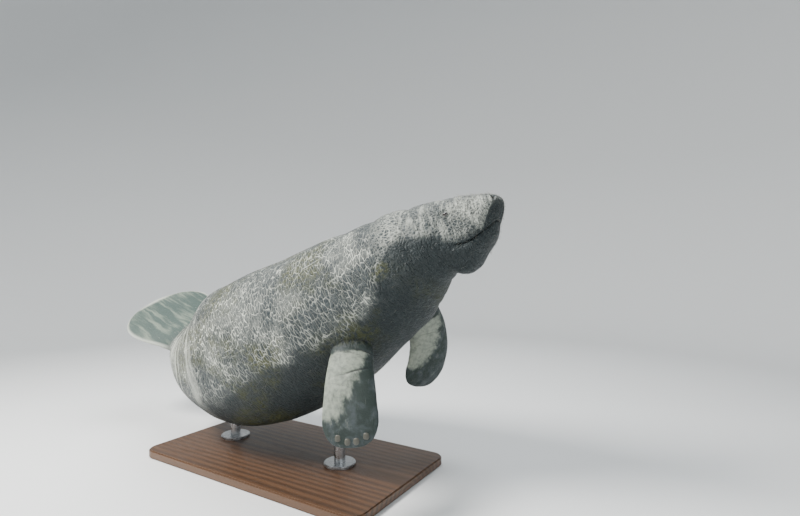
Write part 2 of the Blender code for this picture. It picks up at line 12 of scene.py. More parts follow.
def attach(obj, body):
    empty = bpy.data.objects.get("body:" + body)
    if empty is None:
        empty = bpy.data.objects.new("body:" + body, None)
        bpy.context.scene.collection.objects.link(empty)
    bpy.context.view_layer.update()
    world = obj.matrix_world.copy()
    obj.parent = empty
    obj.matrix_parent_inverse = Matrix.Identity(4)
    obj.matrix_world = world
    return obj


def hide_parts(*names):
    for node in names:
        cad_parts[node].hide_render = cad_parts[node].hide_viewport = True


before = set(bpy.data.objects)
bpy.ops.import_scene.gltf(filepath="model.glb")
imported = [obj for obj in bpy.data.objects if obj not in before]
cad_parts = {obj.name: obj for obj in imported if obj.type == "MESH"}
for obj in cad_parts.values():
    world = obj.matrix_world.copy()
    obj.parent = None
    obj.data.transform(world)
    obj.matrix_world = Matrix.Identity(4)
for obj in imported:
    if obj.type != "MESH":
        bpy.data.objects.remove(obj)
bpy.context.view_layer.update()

# The body's form. The animal is one thick hide over blubber, with no neck to speak of, a round belly
# and a flat paddle for a tail. It is laid out here along a bent backbone, by the distance back from
# the snout and the angle round the section, where 0 is the left side and 90 degrees the back.
SNOUT_PLACE = np.array([1.10, 0.0, 1.22])
BODY_LENGTH = 2.78
BODY_PLACES = {
    "snout": (0.000, 0.066, 0.041, 0.130, 2.5, 0.43),
    "lips": (0.055, 0.101, 0.056, 0.158, 2.45, 0.36),
    "chin": (0.110, 0.116, 0.073, 0.205, 2.5, 0.28),
    "mouth corner": (0.165, 0.121, 0.090, 0.214, 2.4, 0.18),
    "eyes": (0.215, 0.130, 0.101, 0.208, 2.3, 0.10),
    "cheeks": (0.260, 0.143, 0.112, 0.194, 2.2, 0.05),
    "throat": (0.320, 0.166, 0.128, 0.208, 2.15, 0.0),
    "nape": (0.450, 0.215, 0.174, 0.262, 2.1, 0.0),
    "neck root": (0.590, 0.262, 0.206, 0.315, 2.1, 0.0),
    "shoulders": (0.770, 0.304, 0.258, 0.340, 2.15, 0.0),
    "chest": (1.000, 0.350, 0.306, 0.372, 2.25, 0.0),
    "belly": (1.275, 0.365, 0.380, 0.370, 2.35, 0.0),
    "loins": (1.550, 0.351, 0.417, 0.330, 2.4, 0.0),
    "hips": (1.820, 0.274, 0.263, 0.232, 2.35, 0.0),
    "tail root": (2.050, 0.219, 0.204, 0.178, 2.15, 0.0),
    "tail's narrowest": (2.190, 0.173, 0.108, 0.100, 2.0, 0.0),
    "paddle's root": (2.325, 0.200, 0.063, 0.062, 1.9, 0.0),
    "paddle's flare": (2.460, 0.251, 0.038, 0.038, 1.8, 0.0),
    "paddle's widest": (2.580, 0.276, 0.024, 0.024, 1.8, 0.0),
    "paddle's end": (2.780, 0.309, 0.014, 0.014, 1.8, 0.0),
}
BACKBONE_TURNS = {
    "snout": (0.0, 19.2, 7.2, -1.3),
    "skull": (0.20, 19.2, 7.2, -1.3),
    "neck": (0.45, 30.7, -6.2, -1.3),
    "shoulders": (0.77, 33.0, 0.0, -1.3),
    "belly": (1.275, 33.0, 0.0, -1.3),
    "loins": (1.685, 10.1, -4.1, 5.2),
    "tail root": (2.05, -17.0, -19.7, 15.0),
    "paddle": (2.325, -20.6, -4.2, 25.9),
    "paddle's end": (2.78, -20.6, -4.2, 25.9),
}
BACKBONE_STEPS = 600
MUZZLE_ROUND = 0.068
MUZZLE_POWER = 2.3
MUZZLE_MIDDLE = 0.004
PADDLE_ROUND = 0.275
PADDLE_POWER = 2.2
PADDLE_EDGE = 0.3
MOUTH_LINE = {
    "corner": (-0.204, -0.102),
    "behind": (-0.155, -0.108),
    "side": (-0.104, -0.097),
    "pad": (-0.062, -0.078),
    "front": (-0.020, -0.056),
    "centre": (0.060, -0.054),
}
JAW_NARROW = 0.11
JAW_HEIGHT = 0.060
JAW_END = (0.205, 0.020)
UNDER_ROUNDER = 0.6
FADE_LIMIT = 60
SHORTEST_VECTOR = 1e-12


def smooth_curve(known, values, wanted):
    """Values at the wanted places, on a smooth curve through the known ones that never overshoots."""
    steps = np.diff(known)
    slopes = np.diff(values) / steps
    tangents = np.zeros(len(known))
    tangents[0] = slopes[0]
    tangents[-1] = slopes[-1]
    for i in range(1, len(known) - 1):
        if slopes[i - 1] * slopes[i] > 0:
            before = 2 * steps[i] + steps[i - 1]
            after = steps[i] + 2 * steps[i - 1]
            tangents[i] = (before + after) / (before / slopes[i - 1] + after / slopes[i])
    i = np.clip(np.searchsorted(known, wanted) - 1, 0, len(known) - 2)
    t = np.clip((wanted - known[i]) / steps[i], 0, 1)
    from_start = (1 + 2 * t) * (1 - t) ** 2 * values[i] + t * (1 - t) ** 2 * steps[i] * tangents[i]
    from_end = t * t * (3 - 2 * t) * values[i + 1] + t * t * (t - 1) * steps[i] * tangents[i + 1]
    return from_start + from_end


def along(places, column, wanted):
    """One column of a table of named places, at the wanted positions of its first column."""
    rows = np.array(sorted(places.values()))
    return smooth_curve(rows[:, 0], rows[:, column], np.asarray(wanted, float))


def make_backbone():
    """The backbone as distances, points, and the directions ahead, left and up at each."""
    distance = np.linspace(0, BODY_LENGTH, BACKBONE_STEPS + 1)
    pitch, yaw, roll = (np.radians(along(BACKBONE_TURNS, column, distance)) for column in (1, 2, 3))
    ahead = np.stack([np.cos(pitch) * np.cos(yaw), np.cos(pitch) * np.sin(yaw), np.sin(pitch)], 1)
    level = np.stack([-np.sin(yaw), np.cos(yaw), np.zeros_like(yaw)], 1)
    upright = np.cross(ahead, level)
    left = level * np.cos(roll)[:, None] + upright * np.sin(roll)[:, None]
    up = np.cross(ahead, left)
    steps = (ahead[1:] + ahead[:-1]) / 2 * (distance[1] - distance[0])
    points = SNOUT_PLACE - np.concatenate([np.zeros((1, 3)), np.cumsum(steps, 0)])
    return distance, points, ahead, left, up


BACKBONE = make_backbone()


def backbone_at(distance):
    """Point, ahead, left and up at each distance from the snout."""
    known = BACKBONE[0]
    return [
        np.stack([np.interp(distance, known, table[:, axis]) for axis in range(3)], -1)
        for table in BACKBONE[1:]
    ]


def ease(value):
    """0 up to 0, 1 from 1 on, and smooth between."""
    value = np.clip(value, 0, 1)
    return value * value * (3 - 2 * value)


def bump(value, centre, reach):
    """A smooth hump of height 1 at the centre."""
    return np.exp(-(((value - centre) / reach) ** 2))


def swell(value, plan):
    """A smooth hump given by its height, centre and reach."""
    height, centre, reach = plan
    return height * bump(value, centre, reach)


def fade(value, end):
    """1 well before the end's place, and 0 well past it."""
    place, softness = end
    return 1 / (1 + np.exp(np.clip((value - place) / softness, -FADE_LIMIT, FADE_LIMIT)))


def unit(vectors):
    """The vectors at length 1."""
    return vectors / np.maximum(np.linalg.norm(vectors, axis=-1, keepdims=True), SHORTEST_VECTOR)


def straight_form(distance, angle):
    """Ahead, left and up on the body laid out straight, and the height over the line of the mouth."""
    width, rise, drop, square, lean = (along(BODY_PLACES, column, distance) for column in range(1, 6))
    near_front = np.clip(1 - distance / MUZZLE_ROUND, 0, 1)
    front = (1 - near_front**MUZZLE_POWER) ** (1 / MUZZLE_POWER)
    near_end = np.clip((distance - BODY_LENGTH + PADDLE_ROUND) / PADDLE_ROUND, 0, 1)
    end = np.sqrt(1 - near_end**PADDLE_POWER)
    square = np.where(np.sin(angle) < 0, 2 + (square - 2) * UNDER_ROUNDER, square)
    across = np.sign(np.cos(angle)) * np.abs(np.cos(angle)) ** (2 / square)
    upward = np.sign(np.sin(angle)) * np.abs(np.sin(angle)) ** (2 / square)
    middle = (rise - drop) / 2 * front + MUZZLE_MIDDLE * (1 - front)
    height = middle + upward * (rise + drop) / 2 * front * np.clip(end, PADDLE_EDGE, 1)
    forward = lean * height
    under_line = along(MOUTH_LINE, 1, forward - distance) - height
    jaw = ease(under_line / JAW_HEIGHT) * fade(distance, JAW_END)
    side = across * width * front * end * (1 - JAW_NARROW * jaw)
    return np.stack([forward - distance, side, height], -1), -under_line


def plain_skin(distance, angle):
    """Points of the body's plain form in its pose."""
    straight, _ = straight_form(distance, angle)
    point, ahead, left, up = backbone_at(distance)
    forward = straight[..., 0] + distance
    return point + forward[..., None] * ahead + straight[..., 1:2] * left + straight[..., 2:] * up


def outward(distance, angle):
    """Unit normals of the plain form, pointing out of the body."""
    small = 0.0005
    distance = np.clip(distance, 2 * small, BODY_LENGTH - 2 * small)
    lengthwise = plain_skin(distance + small, angle) - plain_skin(distance - small, angle)
    round_it = plain_skin(distance, angle + small) - plain_skin(distance, angle - small)
    return unit(np.cross(lengthwise, round_it))


def skin_frame(side, distance, angle):
    """A spot on the head's skin, and the directions ahead, up along the skin, and out of the head."""
    angle = math.radians(angle if side == "left" else 180 - angle)
    spot = plain_skin(np.array(distance), np.array(angle))
    out = outward(np.array(distance), np.array(angle))
    ahead = backbone_at(np.array([0.0]))[1][0]
    ahead = unit(ahead - out * (ahead @ out))
    up = np.cross(out, ahead)
    return spot, ahead, up if up[2] > 0 else -up, out


# The hide's relief. A manatee's hide is up to 5 cm thick and hangs in soft folds: rolls round the neck,
# rings of wrinkles behind the muzzle, full bristly lips with a cleft between them, nostrils that shut
# like valves, and small eyes in puckered lids. Heights are in metres out of the plain form.
LIPS = {
    "upper pad": (0.040, 0.006, 0.034),
    "upper rim": (0.0065, 0.0035, 0.0050),
    "line": (0.000, -0.006, 0.012),
    "slit": (0.000, -0.008, 0.0021),
    "lower rim": (-0.0065, 0.0010, 0.0045),
    "lower lip": (-0.026, 0.006, 0.018),
}
LIPS_END = (0.180, 0.012)
SLIT_START = 0.012
CLEFT = (0.0045, 0.0055)
# Rings of wrinkles: where, how far they reach, their spacing, depth, the painted shade in their grooves and
# random seed.
WRINKLES = {
    "muzzle": {"centre": 0.128, "reach": 0.052, "spacing": 0.0125, "depth": 0.0021, "dark": 0.45, "seed": 11},
    "neck": {"centre": 0.43, "reach": 0.16, "spacing": 0.041, "depth": 0.0030, "dark": 0.5, "seed": 23},
    "tail": {"centre": 2.06, "reach": 0.15, "spacing": 0.048, "depth": 0.0030, "dark": 0.3, "seed": 37},
}
WRINKLE_WANDER = 0.7
WRINKLE_FINE_WANDER = 0.4
WRINKLE_WIDTH = 0.22
WRINKLE_STRENGTH = 0.55
NECK_ROLLS = {
    "behind the skull": (0.345, 0.009, 0.020),
    "at the neck's root": (0.490, 0.009, 0.030),
    "before the shoulder": (0.640, 0.005, 0.035),
}
ROLL_UNDER = 0.35
# Painted shade along the mouth's slit: its strength and width.
MOUTH_SHADE = 0.55
MOUTH_SHADE_WIDTH = 1.1
MOUTH_CORNER = (-0.0035, -0.004, 0.010)
SIDE_LIMIT = 0.98
# Painted shade in the cleft between the lips.
CLEFT_SHADE = 0.5
EYE_DISTANCE = 0.200
EYE_ANGLE = 27.3
EYE_RADIUS = 0.0115
EYE_SINK = 0.0065
LID_OPENING = 0.0079
LID_HEIGHT = 0.78
NOSTRIL_DISTANCE = 0.030
NOSTRIL_ANGLE = 58
NOSTRIL_SLANT = 25
NOSTRIL_HALF = (0.0095, 0.0145)
NOSTRIL_DEPTH = 0.014
# Fat over the rump: distance from the snout, height, half width. It evens out the back behind the loins.
RUMP_FAT = {
    "loins": (1.600, -0.010, 0.070),
    "rump": (1.800, 0.030, 0.095),
    "tail root": (1.990, 0.010, 0.080),
}
# Rings round each eye: height, distance from the eye's middle, half width.
EYE_FOLDS = {
    "hollow": (-0.0035, 0, 0.040),
    "lids": (0.0030, 0.0122, 0.0034),
    "groove": (-0.0016, 0.0195, 0.0040),
    "brow": (0.0030, 0.030, 0.012),
    "puckers": (0.00045, 0.0145, 0.0045),
    "wrinkles": (0.0006, 0.028, 0.012),
}
# Painted shade in the groove round the lids: strength, distance from the eye's middle, half width.
EYE_GROOVE_SHADE = (0.5, 0.0195, 0.0022)
EYE_REACH = (0.09, 0.05)
PUCKERS_ROUND = 17
PUCKER_UNEVEN = 3
EYE_WRINKLE_SPACING = 0.0062
EYE_WRINKLE_UNEVEN = 1.2
BROW_SOFTNESS = 0.03
LID_DEPTH = 0.0125
LID_EDGE = 0.0016
# Across a nostril, in shares of its half size: the valve, and the rim with the groove round it.
NOSTRIL_BEND = 0.35
NOSTRIL_REACH = (5, 0.04)
NOSTRIL_VALVE = (0.55, -0.75, 0.5)
NOSTRIL_RIMS = ((0.0026, 1.45, 0.38), (-0.0010, 2.2, 0.35))
# Painted shade in a nostril is lighter by this share where the valve shuts it.
VALVE_LESS_SHADE = 0.5
# Soft noise in the hide: height, size and seed.
ROLL_WANDER = (0.012, 0.12, 41)
LUMPS = (0.0045, 0.16, 53)
SMALL_LUMPS = (0.00225, 0.16 / 2.3, 59)
HEAD_GRAIN = (0.0012, 0.035, 61)
PADDLE_STRANDS = (0.0011, 0.020, 67)
STRAND_SHAPE = (0.18, 1, 0.3)
# Where each part of the hide begins, and over how much it comes in.
ZONES = {
    "behind the front": (0.018, 0.040),
    "cleft's foot": (0.0, 0.010),
    "over the cleft": (0.055, 0.05),
    "muzzle's rings": (0.012, 0.03),
    "body": (0.30, 0.35),
    "behind the body": (2.15, 0.2),
    "paddle's strands": (2.22, 0.15),
    "round the eyeball": (0.0085, 0.0035),
    "round the nostril": (0.55, 0.5),
    "behind the muzzle": (0.135, 0.06),
    "upper lip": (-0.012, 0.02),
    "behind the chin": (0.085, 0.05),
    "lower lip": (-0.075, 0.03),
    "paddle": (2.16, 0.16),
    "paddle's sides": (0.93, 0.06),
    "paddle's end": (2.735, 0.035),
    "bare crease": (0.25, 0.30),
    "behind the head": (0.30, 0.22),
    "flipper": (0.05, 0.10),
    "flipper's pale field": (0.13, 0.05),
    "past the pale field": (0.70, 0.14),
}
HIDE_SEED = 7


def soft_noise(points, size, seed=0):
    """Smooth random values from -1 to 1 that change over about this size."""
    cell = np.floor(points / size).astype(np.int64)
    part = points / size - cell
    part = part * part * (3 - 2 * part)
    total = 0
    for corner in range(8):
        step = np.array([corner & 1, corner >> 1 & 1, corner >> 2 & 1])
        spot = cell + step
        mixed = spot[..., 0] * 374761393 + spot[..., 1] * 668265263 + spot[..., 2] * 2147483647
        mixed = (mixed + (seed + HIDE_SEED) * 144665) & 0xFFFFFFFF
        mixed = ((mixed ^ (mixed >> 13)) * 1274126177) & 0xFFFFFFFF
        value = ((mixed ^ (mixed >> 16)) & 0xFFFF) / 32767.5 - 1
        weight = np.prod(np.where(step, part, 1 - part), -1)
        total = total + value * weight
    return total


def noise_from(points, plan):
    """Soft noise given by its height, size and seed."""
    height, size, seed = plan
    return height * soft_noise(points, size, seed)


def past(value, zone):
    """0 before the zone, 1 behind it, and smooth within it."""
    start, length = ZONES[zone]
    return ease((value - start) / length)


def wrinkles(place, plan, straight):
    """Rings of grooves across the body that wander and fade in and out."""
    spacing = plan["spacing"]
    seed = plan["seed"]
    wander = soft_noise(straight, spacing * 3, seed)
    wander = wander + soft_noise(straight, spacing, seed + 1) * WRINKLE_FINE_WANDER
    phase = place / spacing + wander * WRINKLE_WANDER
    groove = bump(phase - np.round(phase), 0, WRINKLE_WIDTH)
    strength = WRINKLE_STRENGTH + (1 - WRINKLE_STRENGTH) * soft_noise(straight, spacing * 2, seed + 2)
    return -groove * strength * bump(place, plan["centre"], plan["reach"]) * plan["depth"]


def eye_relief(place):
    """The puckered lids round each eye, and the painted shade in the lids' opening and in the groove round
    them.
    """
    height = np.zeros(len(place))
    dark = np.zeros(len(place))
    for side in ("left", "right"):
        spot, ahead, up, out = skin_frame(side, EYE_DISTANCE, EYE_ANGLE)
        away = place - spot
        along_head = away @ ahead
        upright = (away @ up) / LID_HEIGHT
        radius = np.hypot(along_head, upright)
        turn = np.arctan2(upright, along_head)
        near = (radius < EYE_REACH[0]) & (np.abs(away @ out) < EYE_REACH[1])
        folds = {name: swell(radius, plan) for name, plan in EYE_FOLDS.items()}
        folds["brow"] *= ease(0.5 + upright / BROW_SOFTNESS)
        folds["puckers"] *= np.cos(turn * PUCKERS_ROUND + PUCKER_UNEVEN * np.sin(turn * 2))
        phase = radius / EYE_WRINKLE_SPACING * 2 * math.pi
        folds["wrinkles"] *= np.cos(phase + EYE_WRINKLE_UNEVEN * np.sin(turn))
        opening = -LID_DEPTH * (1 - ease((radius - LID_OPENING) / LID_EDGE))
        height += np.where(near, sum(folds.values()) + opening, 0)
        # Painted shade in the lids' opening and in the groove round the lids.
        dark = np.maximum(dark, np.where(near, 1 - past(radius, "round the eyeball"), 0))
        dark = np.maximum(dark, np.where(near, swell(radius, EYE_GROOVE_SHADE), 0))
    return height, dark


def nostril_relief(place):
    """The two nostrils: slanting openings with a swollen rim, half shut by a valve from below, with painted
    shade in them.
    """
    height = np.zeros(len(place))
    dark = np.zeros(len(place))
    slant = math.radians(NOSTRIL_SLANT)
    for side in ("left", "right"):
        spot, ahead, across, out = skin_frame(side, NOSTRIL_DISTANCE, NOSTRIL_ANGLE)
        lengthwise = ahead * math.cos(slant) + across * math.sin(slant)
        crosswise = np.cross(out, lengthwise)
        away = place - spot
        second = (away @ crosswise) / NOSTRIL_HALF[1]
        first = (away @ lengthwise) / NOSTRIL_HALF[0] + NOSTRIL_BEND * second**2
        ring = np.hypot(first, second)
        near = (ring < NOSTRIL_REACH[0]) & (np.abs(away @ out) < NOSTRIL_REACH[1])
        opening = 1 - past(ring, "round the nostril")
        valve = swell(first, NOSTRIL_VALVE) * opening
        rim = sum(swell(ring, plan) for plan in NOSTRIL_RIMS)
        height += np.where(near, rim - NOSTRIL_DEPTH * (opening - valve), 0)
        # Painted shade in the nostril's opening, lighter where the valve shuts it.
        dark = np.maximum(dark, np.where(near, opening * (1 - VALVE_LESS_SHADE * valve), 0))
    return height, dark


def relief(distance, angle, place, straight, over_line):
    """How far the hide stands out of the plain form, and how much painted shade lies in its creases, slits
    and openings, at each point.
    """
    upper = np.sin(angle)
    lips = sum(rise * bump(over_line, line, reach) for line, rise, reach in LIPS.values())
    past_corner = straight[:, 0] - MOUTH_LINE["corner"][0]
    in_mouth = ease(past_corner / SLIT_START)
    _, slit_rise, slit_reach = LIPS["slit"]
    behind_mouth = slit_rise * bump(over_line, 0, slit_reach) * (1 - in_mouth)
    total = (lips - behind_mouth) * fade(distance, LIPS_END)
    # Painted shade in the mouth's slit, in the cleft and in the wrinkles' grooves.
    dark = MOUTH_SHADE * bump(over_line, 0, slit_reach * MOUTH_SHADE_WIDTH) * in_mouth
    corner = swell(over_line, MOUTH_CORNER) * bump(past_corner, *MOUTH_CORNER[1:])
    total = total + corner * (np.abs(upper) < SIDE_LIMIT)
    cleft = bump(straight[:, 1], 0, CLEFT[1]) * (1 - past(distance, "behind the front"))
    cleft = cleft * past(over_line, "cleft's foot") * (1 - past(over_line, "over the cleft"))
    total = total - CLEFT[0] * cleft
    dark = np.maximum(dark, CLEFT_SHADE * cleft)
    for name, plan in WRINKLES.items():
        rings = wrinkles(distance, plan, straight)
        if name == "muzzle":
            rings = rings * past(over_line, "muzzle's rings")
        total = total + rings
        dark = np.maximum(dark, -rings / plan["depth"] * plan["dark"])
    wandering = distance + noise_from(straight, ROLL_WANDER)
    under_share = ROLL_UNDER + (1 - ROLL_UNDER) * ease(1 + upper)
    for centre, depth, reach in NECK_ROLLS.values():
        total = total - depth * bump(wandering, centre, reach) * under_share
    for centre, rise, reach in RUMP_FAT.values():
        total = total + rise * bump(distance, centre, reach) * ease(upper)
    on_body = past(distance, "body") * (1 - past(distance, "behind the body"))
    total = total + (noise_from(straight, LUMPS) + noise_from(straight, SMALL_LUMPS)) * on_body
    total = total + noise_from(straight, HEAD_GRAIN) * (1 - on_body) * (distance < 1)
    strands = noise_from(straight * np.array(STRAND_SHAPE), PADDLE_STRANDS)
    total = total + strands * past(distance, "paddle's strands")
    eyes, eye_shade = eye_relief(place)
    nostrils, nostril_shade = nostril_relief(place)
    total = np.where(eye_shade > 0.99, 0, total) + eyes + nostrils
    return total, np.maximum(dark, np.maximum(eye_shade, nostril_shade))


# Painted light and shade, and algae. Above a line along each side the hide is painted pale as painted light
# and dark under it as painted shade, and the whole front of the muzzle is dark with painted shade. Algae grow
# in soft patches, with patches of painted light between them. The line is given by distance from the snout
# and by how many degrees under the side's middle it lies.
SHADE_LINE = {
    "snout": (0.000, -60),
    "muzzle's front": (0.020, -42),
    "muzzle's edge": (0.035, -20),
    "lips": (0.055, 8),
    "chin": (0.110, 4),
    "eye": (0.200, 8),
    "cheek": (0.260, 5),
    "throat": (0.320, 2),
    "jowl": (0.380, 0),
    "jowl's end": (0.420, 3),
    "neck": (0.450, 10),
    "neck's middle": (0.500, 19),
    "neck's root": (0.590, 28),
    "shoulder": (0.680, 33),
    "flipper": (0.770, 37),
    "behind the flipper": (0.900, 31),
    "chest": (1.000, 23),
    "belly": (1.275, 29),
    "loins": (1.550, 29),
    "hips": (1.820, 32),
    "tail root": (2.050, 35),
    "paddle": (2.300, 45),
    "paddle's end": (2.780, 45),
}
SHADE_SPREAD = 30.0
# Patches on both sides: kind, distance, degrees up from the side, half length, half height in degrees.
# The algae patches are real stains; the other patches are painted light, on the head's top, by the neck's
# root and behind the flipper.
PATCHES = [
    ("algae", 0.785, 27, 0.085, 17),
    ("algae", 1.130, -15, 0.130, 9),
    ("algae", 0.470, -12, 0.045, 9),
    ("algae", 1.330, 42, 0.120, 16),
    ("painted_light", 0.900, 7, 0.070, 9),
    ("painted_light", 0.570, 13, 0.095, 9),
    ("painted_light", 0.115, 38, 0.100, 24),
]
PATCH_SPREAD = 1.35
PATCH_RAGGED = (0.45, 0.09, 83)


def painted_shade_light_and_algae(distance, angle, straight):
    """How far above the painted shade line each point lies, and how much painted light and how much algae lie
    on it.
    """
    up_side = np.degrees(np.arctan2(np.sin(angle), np.abs(np.cos(angle))))
    shade = (up_side + along(SHADE_LINE, 1, distance)) / SHADE_SPREAD
    found = {"painted_light": np.zeros(len(distance)), "algae": np.zeros(len(distance))}
    ragged = noise_from(straight, PATCH_RAGGED)
    for kind, place, height, half_length, half_height in PATCHES:
        away = np.hypot((distance - place) / half_length, (up_side - height) / half_height)
        found[kind] = np.maximum(found[kind], ease(PATCH_SPREAD - away + ragged))
    return shade, found["painted_light"], found["algae"]


# The hide's mesh, made as a net of rings that is split finer where the hide has fine folds: at the lips,
# nostrils and lids, on the muzzle, and where the flippers grow out.
HIDE_SIDES = 160
HIDE_RING_STEP = {
    "snout": (0.0, 0.0060),
    "nape": (0.40, 0.0075),
    "shoulder": (0.70, 0.013),
    "end": (2.78, 0.013),
}
HIDE_FRONT_RINGS = 20
HIDE_END_RINGS = 26
HIDE_FIRST_TURN = 0.05
HIDE_LAST_STEP = 0.008
ROUND_END = 0.9985
SPLIT_ROUNDS = 4
# The longest that an edge of the hide's mesh may be in each part, and how far the parts reach.
LONGEST = {"body": 0.019, "head": 0.0085, "muzzle": 0.0042, "lips": 0.0022, "flipper's root": 0.0085}
LONGEST_AROUND = 0.0020
LONGEST_WITHIN = 0.0011
HEAD_END = 0.40
MUZZLE_END = 0.185
MUZZLE_FOOT = -0.03
LIPS_HALF = 0.010
LIPS_BEHIND = 0.012
FLIPPER_ROOT_REACH = 0.15
EYE_FINE = (0.036, 0.0155)
NOSTRIL_FINE = (0.026, 0.018)
CHIN_TOP = -0.004
CHIN_BRISTLES = 0.6
PADDLE_BALD = 0.6
BODY_UNWRAP = 0.8
FLIPPER_SINK = 0.030
FLIPPERS = {
    "right": {
        "distance": 0.79, "angle": 231, "root": (-58, -38), "tip": (-51, -74), "chord": (31, 2),
        "length": 0.423, "width": 1.03, "outer": 1,
    },
    "left": {
        "distance": 0.655, "angle": 329.4, "root": (72.6, -50), "tip": (192.7, -56.4),
        "chord": (38.6, 40.2), "length": 0.472, "width": 1.047, "outer": -1,
    },
}


def hide_distances():
    """Where the rings lie, evenly over the muzzle's round front and the paddle's round end."""
    turn = np.linspace(HIDE_FIRST_TURN, math.pi / 2, HIDE_FRONT_RINGS)
    front = MUZZLE_ROUND * (1 - (1 - np.sin(turn) ** MUZZLE_POWER) ** (1 / MUZZLE_POWER))
    rows = [front]
    spot = front[-1]
    flat_end = BODY_LENGTH - PADDLE_ROUND
    while spot < flat_end - HIDE_LAST_STEP:
        spot += float(along(HIDE_RING_STEP, 1, spot))
        rows.append([min(spot, flat_end)])
    turn = np.linspace(0, math.asin(ROUND_END), HIDE_END_RINGS)
    rows.append(flat_end + PADDLE_ROUND * np.sin(turn[1:]))
    return np.concatenate(rows)


def wanted_edge(distance, place, over_line, ahead_of):
    """The longest that an edge of the hide's mesh may be at each point."""
    edge = np.full(len(distance), LONGEST["body"])
    edge = np.where(distance < HEAD_END, LONGEST["head"], edge)
    edge = np.where((distance < MUZZLE_END) & (over_line > MUZZLE_FOOT), LONGEST["muzzle"], edge)
    in_lips = (np.abs(over_line) < LIPS_HALF) & (ahead_of > MOUTH_LINE["corner"][0] - LIPS_BEHIND)
    edge = np.where(in_lips, LONGEST["lips"], edge)
    for side, plan in FLIPPERS.items():
        root = plain_skin(np.array(plan["distance"]), np.array(math.radians(plan["angle"])))
        by_flipper = np.linalg.norm(place - root, axis=1) < FLIPPER_ROOT_REACH
        edge = np.where(by_flipper, LONGEST["flipper's root"], edge)
        eye = skin_frame(side, EYE_DISTANCE, EYE_ANGLE)[0]
        nostril = skin_frame(side, NOSTRIL_DISTANCE, NOSTRIL_ANGLE)[0]
        for spot, (wide, close) in ((eye, EYE_FINE), (nostril, NOSTRIL_FINE)):
            away = np.linalg.norm(place - spot, axis=1)
            edge = np.where(away < wide, np.minimum(edge, LONGEST_AROUND), edge)
            edge = np.where(away < close, np.minimum(edge, LONGEST_WITHIN), edge)
    return edge


def hide_places(shape, layers):
    """The distance and angle stored on each of the mesh's points."""
    table = np.array([[vertex[layer] for layer in layers] for vertex in shape.verts])
    return table[:, 0], np.arctan2(table[:, 2], table[:, 1])


def make_hide_net():
    """The body's net of rings as a bmesh, split finer where it needs to be."""
    shape = bmesh.new()
    layers = [shape.verts.layers.float.new(name) for name in ("distance", "left", "up")]
    angles = np.linspace(0, 2 * math.pi, HIDE_SIDES, endpoint=False)
    rings = []
    for distance in hide_distances():
        ring = []
        for angle in angles:
            vertex = shape.verts.new((0, 0, 0))
            for layer, value in zip(layers, (distance, math.cos(angle), math.sin(angle))):
                vertex[layer] = value
            ring.append(vertex)
        rings.append(ring)
    for ring, following in zip(rings, rings[1:]):
        for i in range(HIDE_SIDES):
            j = (i + 1) % HIDE_SIDES
            shape.faces.new((ring[i], following[i], following[j], ring[j]))
    for _ in range(SPLIT_ROUNDS):
        shape.verts.index_update()
        distance, angle = hide_places(shape, layers)
        place = plain_skin(distance, angle)
        straight, over_line = straight_form(distance, angle)
        longest = wanted_edge(distance, place, over_line, straight[:, 0])
        shape.edges.ensure_lookup_table()
        ends = np.array([[edge.verts[0].index, edge.verts[1].index] for edge in shape.edges])
        length = np.linalg.norm(place[ends[:, 0]] - place[ends[:, 1]], axis=1)
        split = np.nonzero(length > np.minimum(longest[ends[:, 0]], longest[ends[:, 1]]))[0]
        chosen = [shape.edges[i] for i in split]
        bmesh.ops.subdivide_edges(shape, edges=chosen, cuts=1, use_grid_fill=True)
    return shape, layers


def make_hide_body():
    """The body's hide as a closed mesh, with what the material needs to know at each point."""
    shape, layers = make_hide_net()
    distance, angle = hide_places(shape, layers)
    place = plain_skin(distance, angle)
    straight, over_line = straight_form(distance, angle)
    height, dark = relief(distance, angle, place, straight, over_line)
    final = place + outward(distance, angle) * height[:, None]
    for vertex, spot in zip(shape.verts, final):
        vertex.co = spot
    # The painted shade line, the spots of painted light, and the algae.
    shade, painted_light, algae = painted_shade_light_and_algae(distance, angle, straight)
    muzzle = (1 - past(distance, "behind the muzzle")) * past(over_line, "upper lip")
    chin = (1 - past(distance, "behind the chin")) * past(over_line, "lower lip") * (over_line < CHIN_TOP)
    paddle = past(distance, "paddle")
    edge = np.maximum(past(np.abs(np.cos(angle)), "paddle's sides"), past(distance, "paddle's end"))
    bare = past(dark, "bare crease")
    round_share = (angle / (2 * math.pi)) % 1
    facts = {
        "rest": straight,
        "crease": dark,
        "shade": shade,
        "painted_light": painted_light,
        "algae": algae,
        "head": 1 - past(distance, "behind the head"),
        "muzzle": muzzle,
        "paddle": paddle,
        "rim": paddle * edge,
        "fin": np.zeros(len(distance)),
        "flipper": np.zeros(len(distance)),
        "bristly": np.maximum(muzzle, CHIN_BRISTLES * chin) * (1 - bare),
        "hairy": (1 - muzzle) * (1 - bare) * (1 - PADDLE_BALD * paddle),
        "lie": -backbone_at(distance)[1],
        "unwrap": np.stack([round_share, BODY_UNWRAP * distance / BODY_LENGTH, 0 * angle], 1),
    }
    holes = bmesh.ops.holes_fill(shape, edges=[edge for edge in shape.edges if edge.is_boundary])
    bmesh.ops.triangulate(shape, faces=holes["faces"])
    bmesh.ops.triangulate(shape, faces=shape.faces)
    bmesh.ops.recalc_face_normals(shape, faces=shape.faces)
    return shape, facts


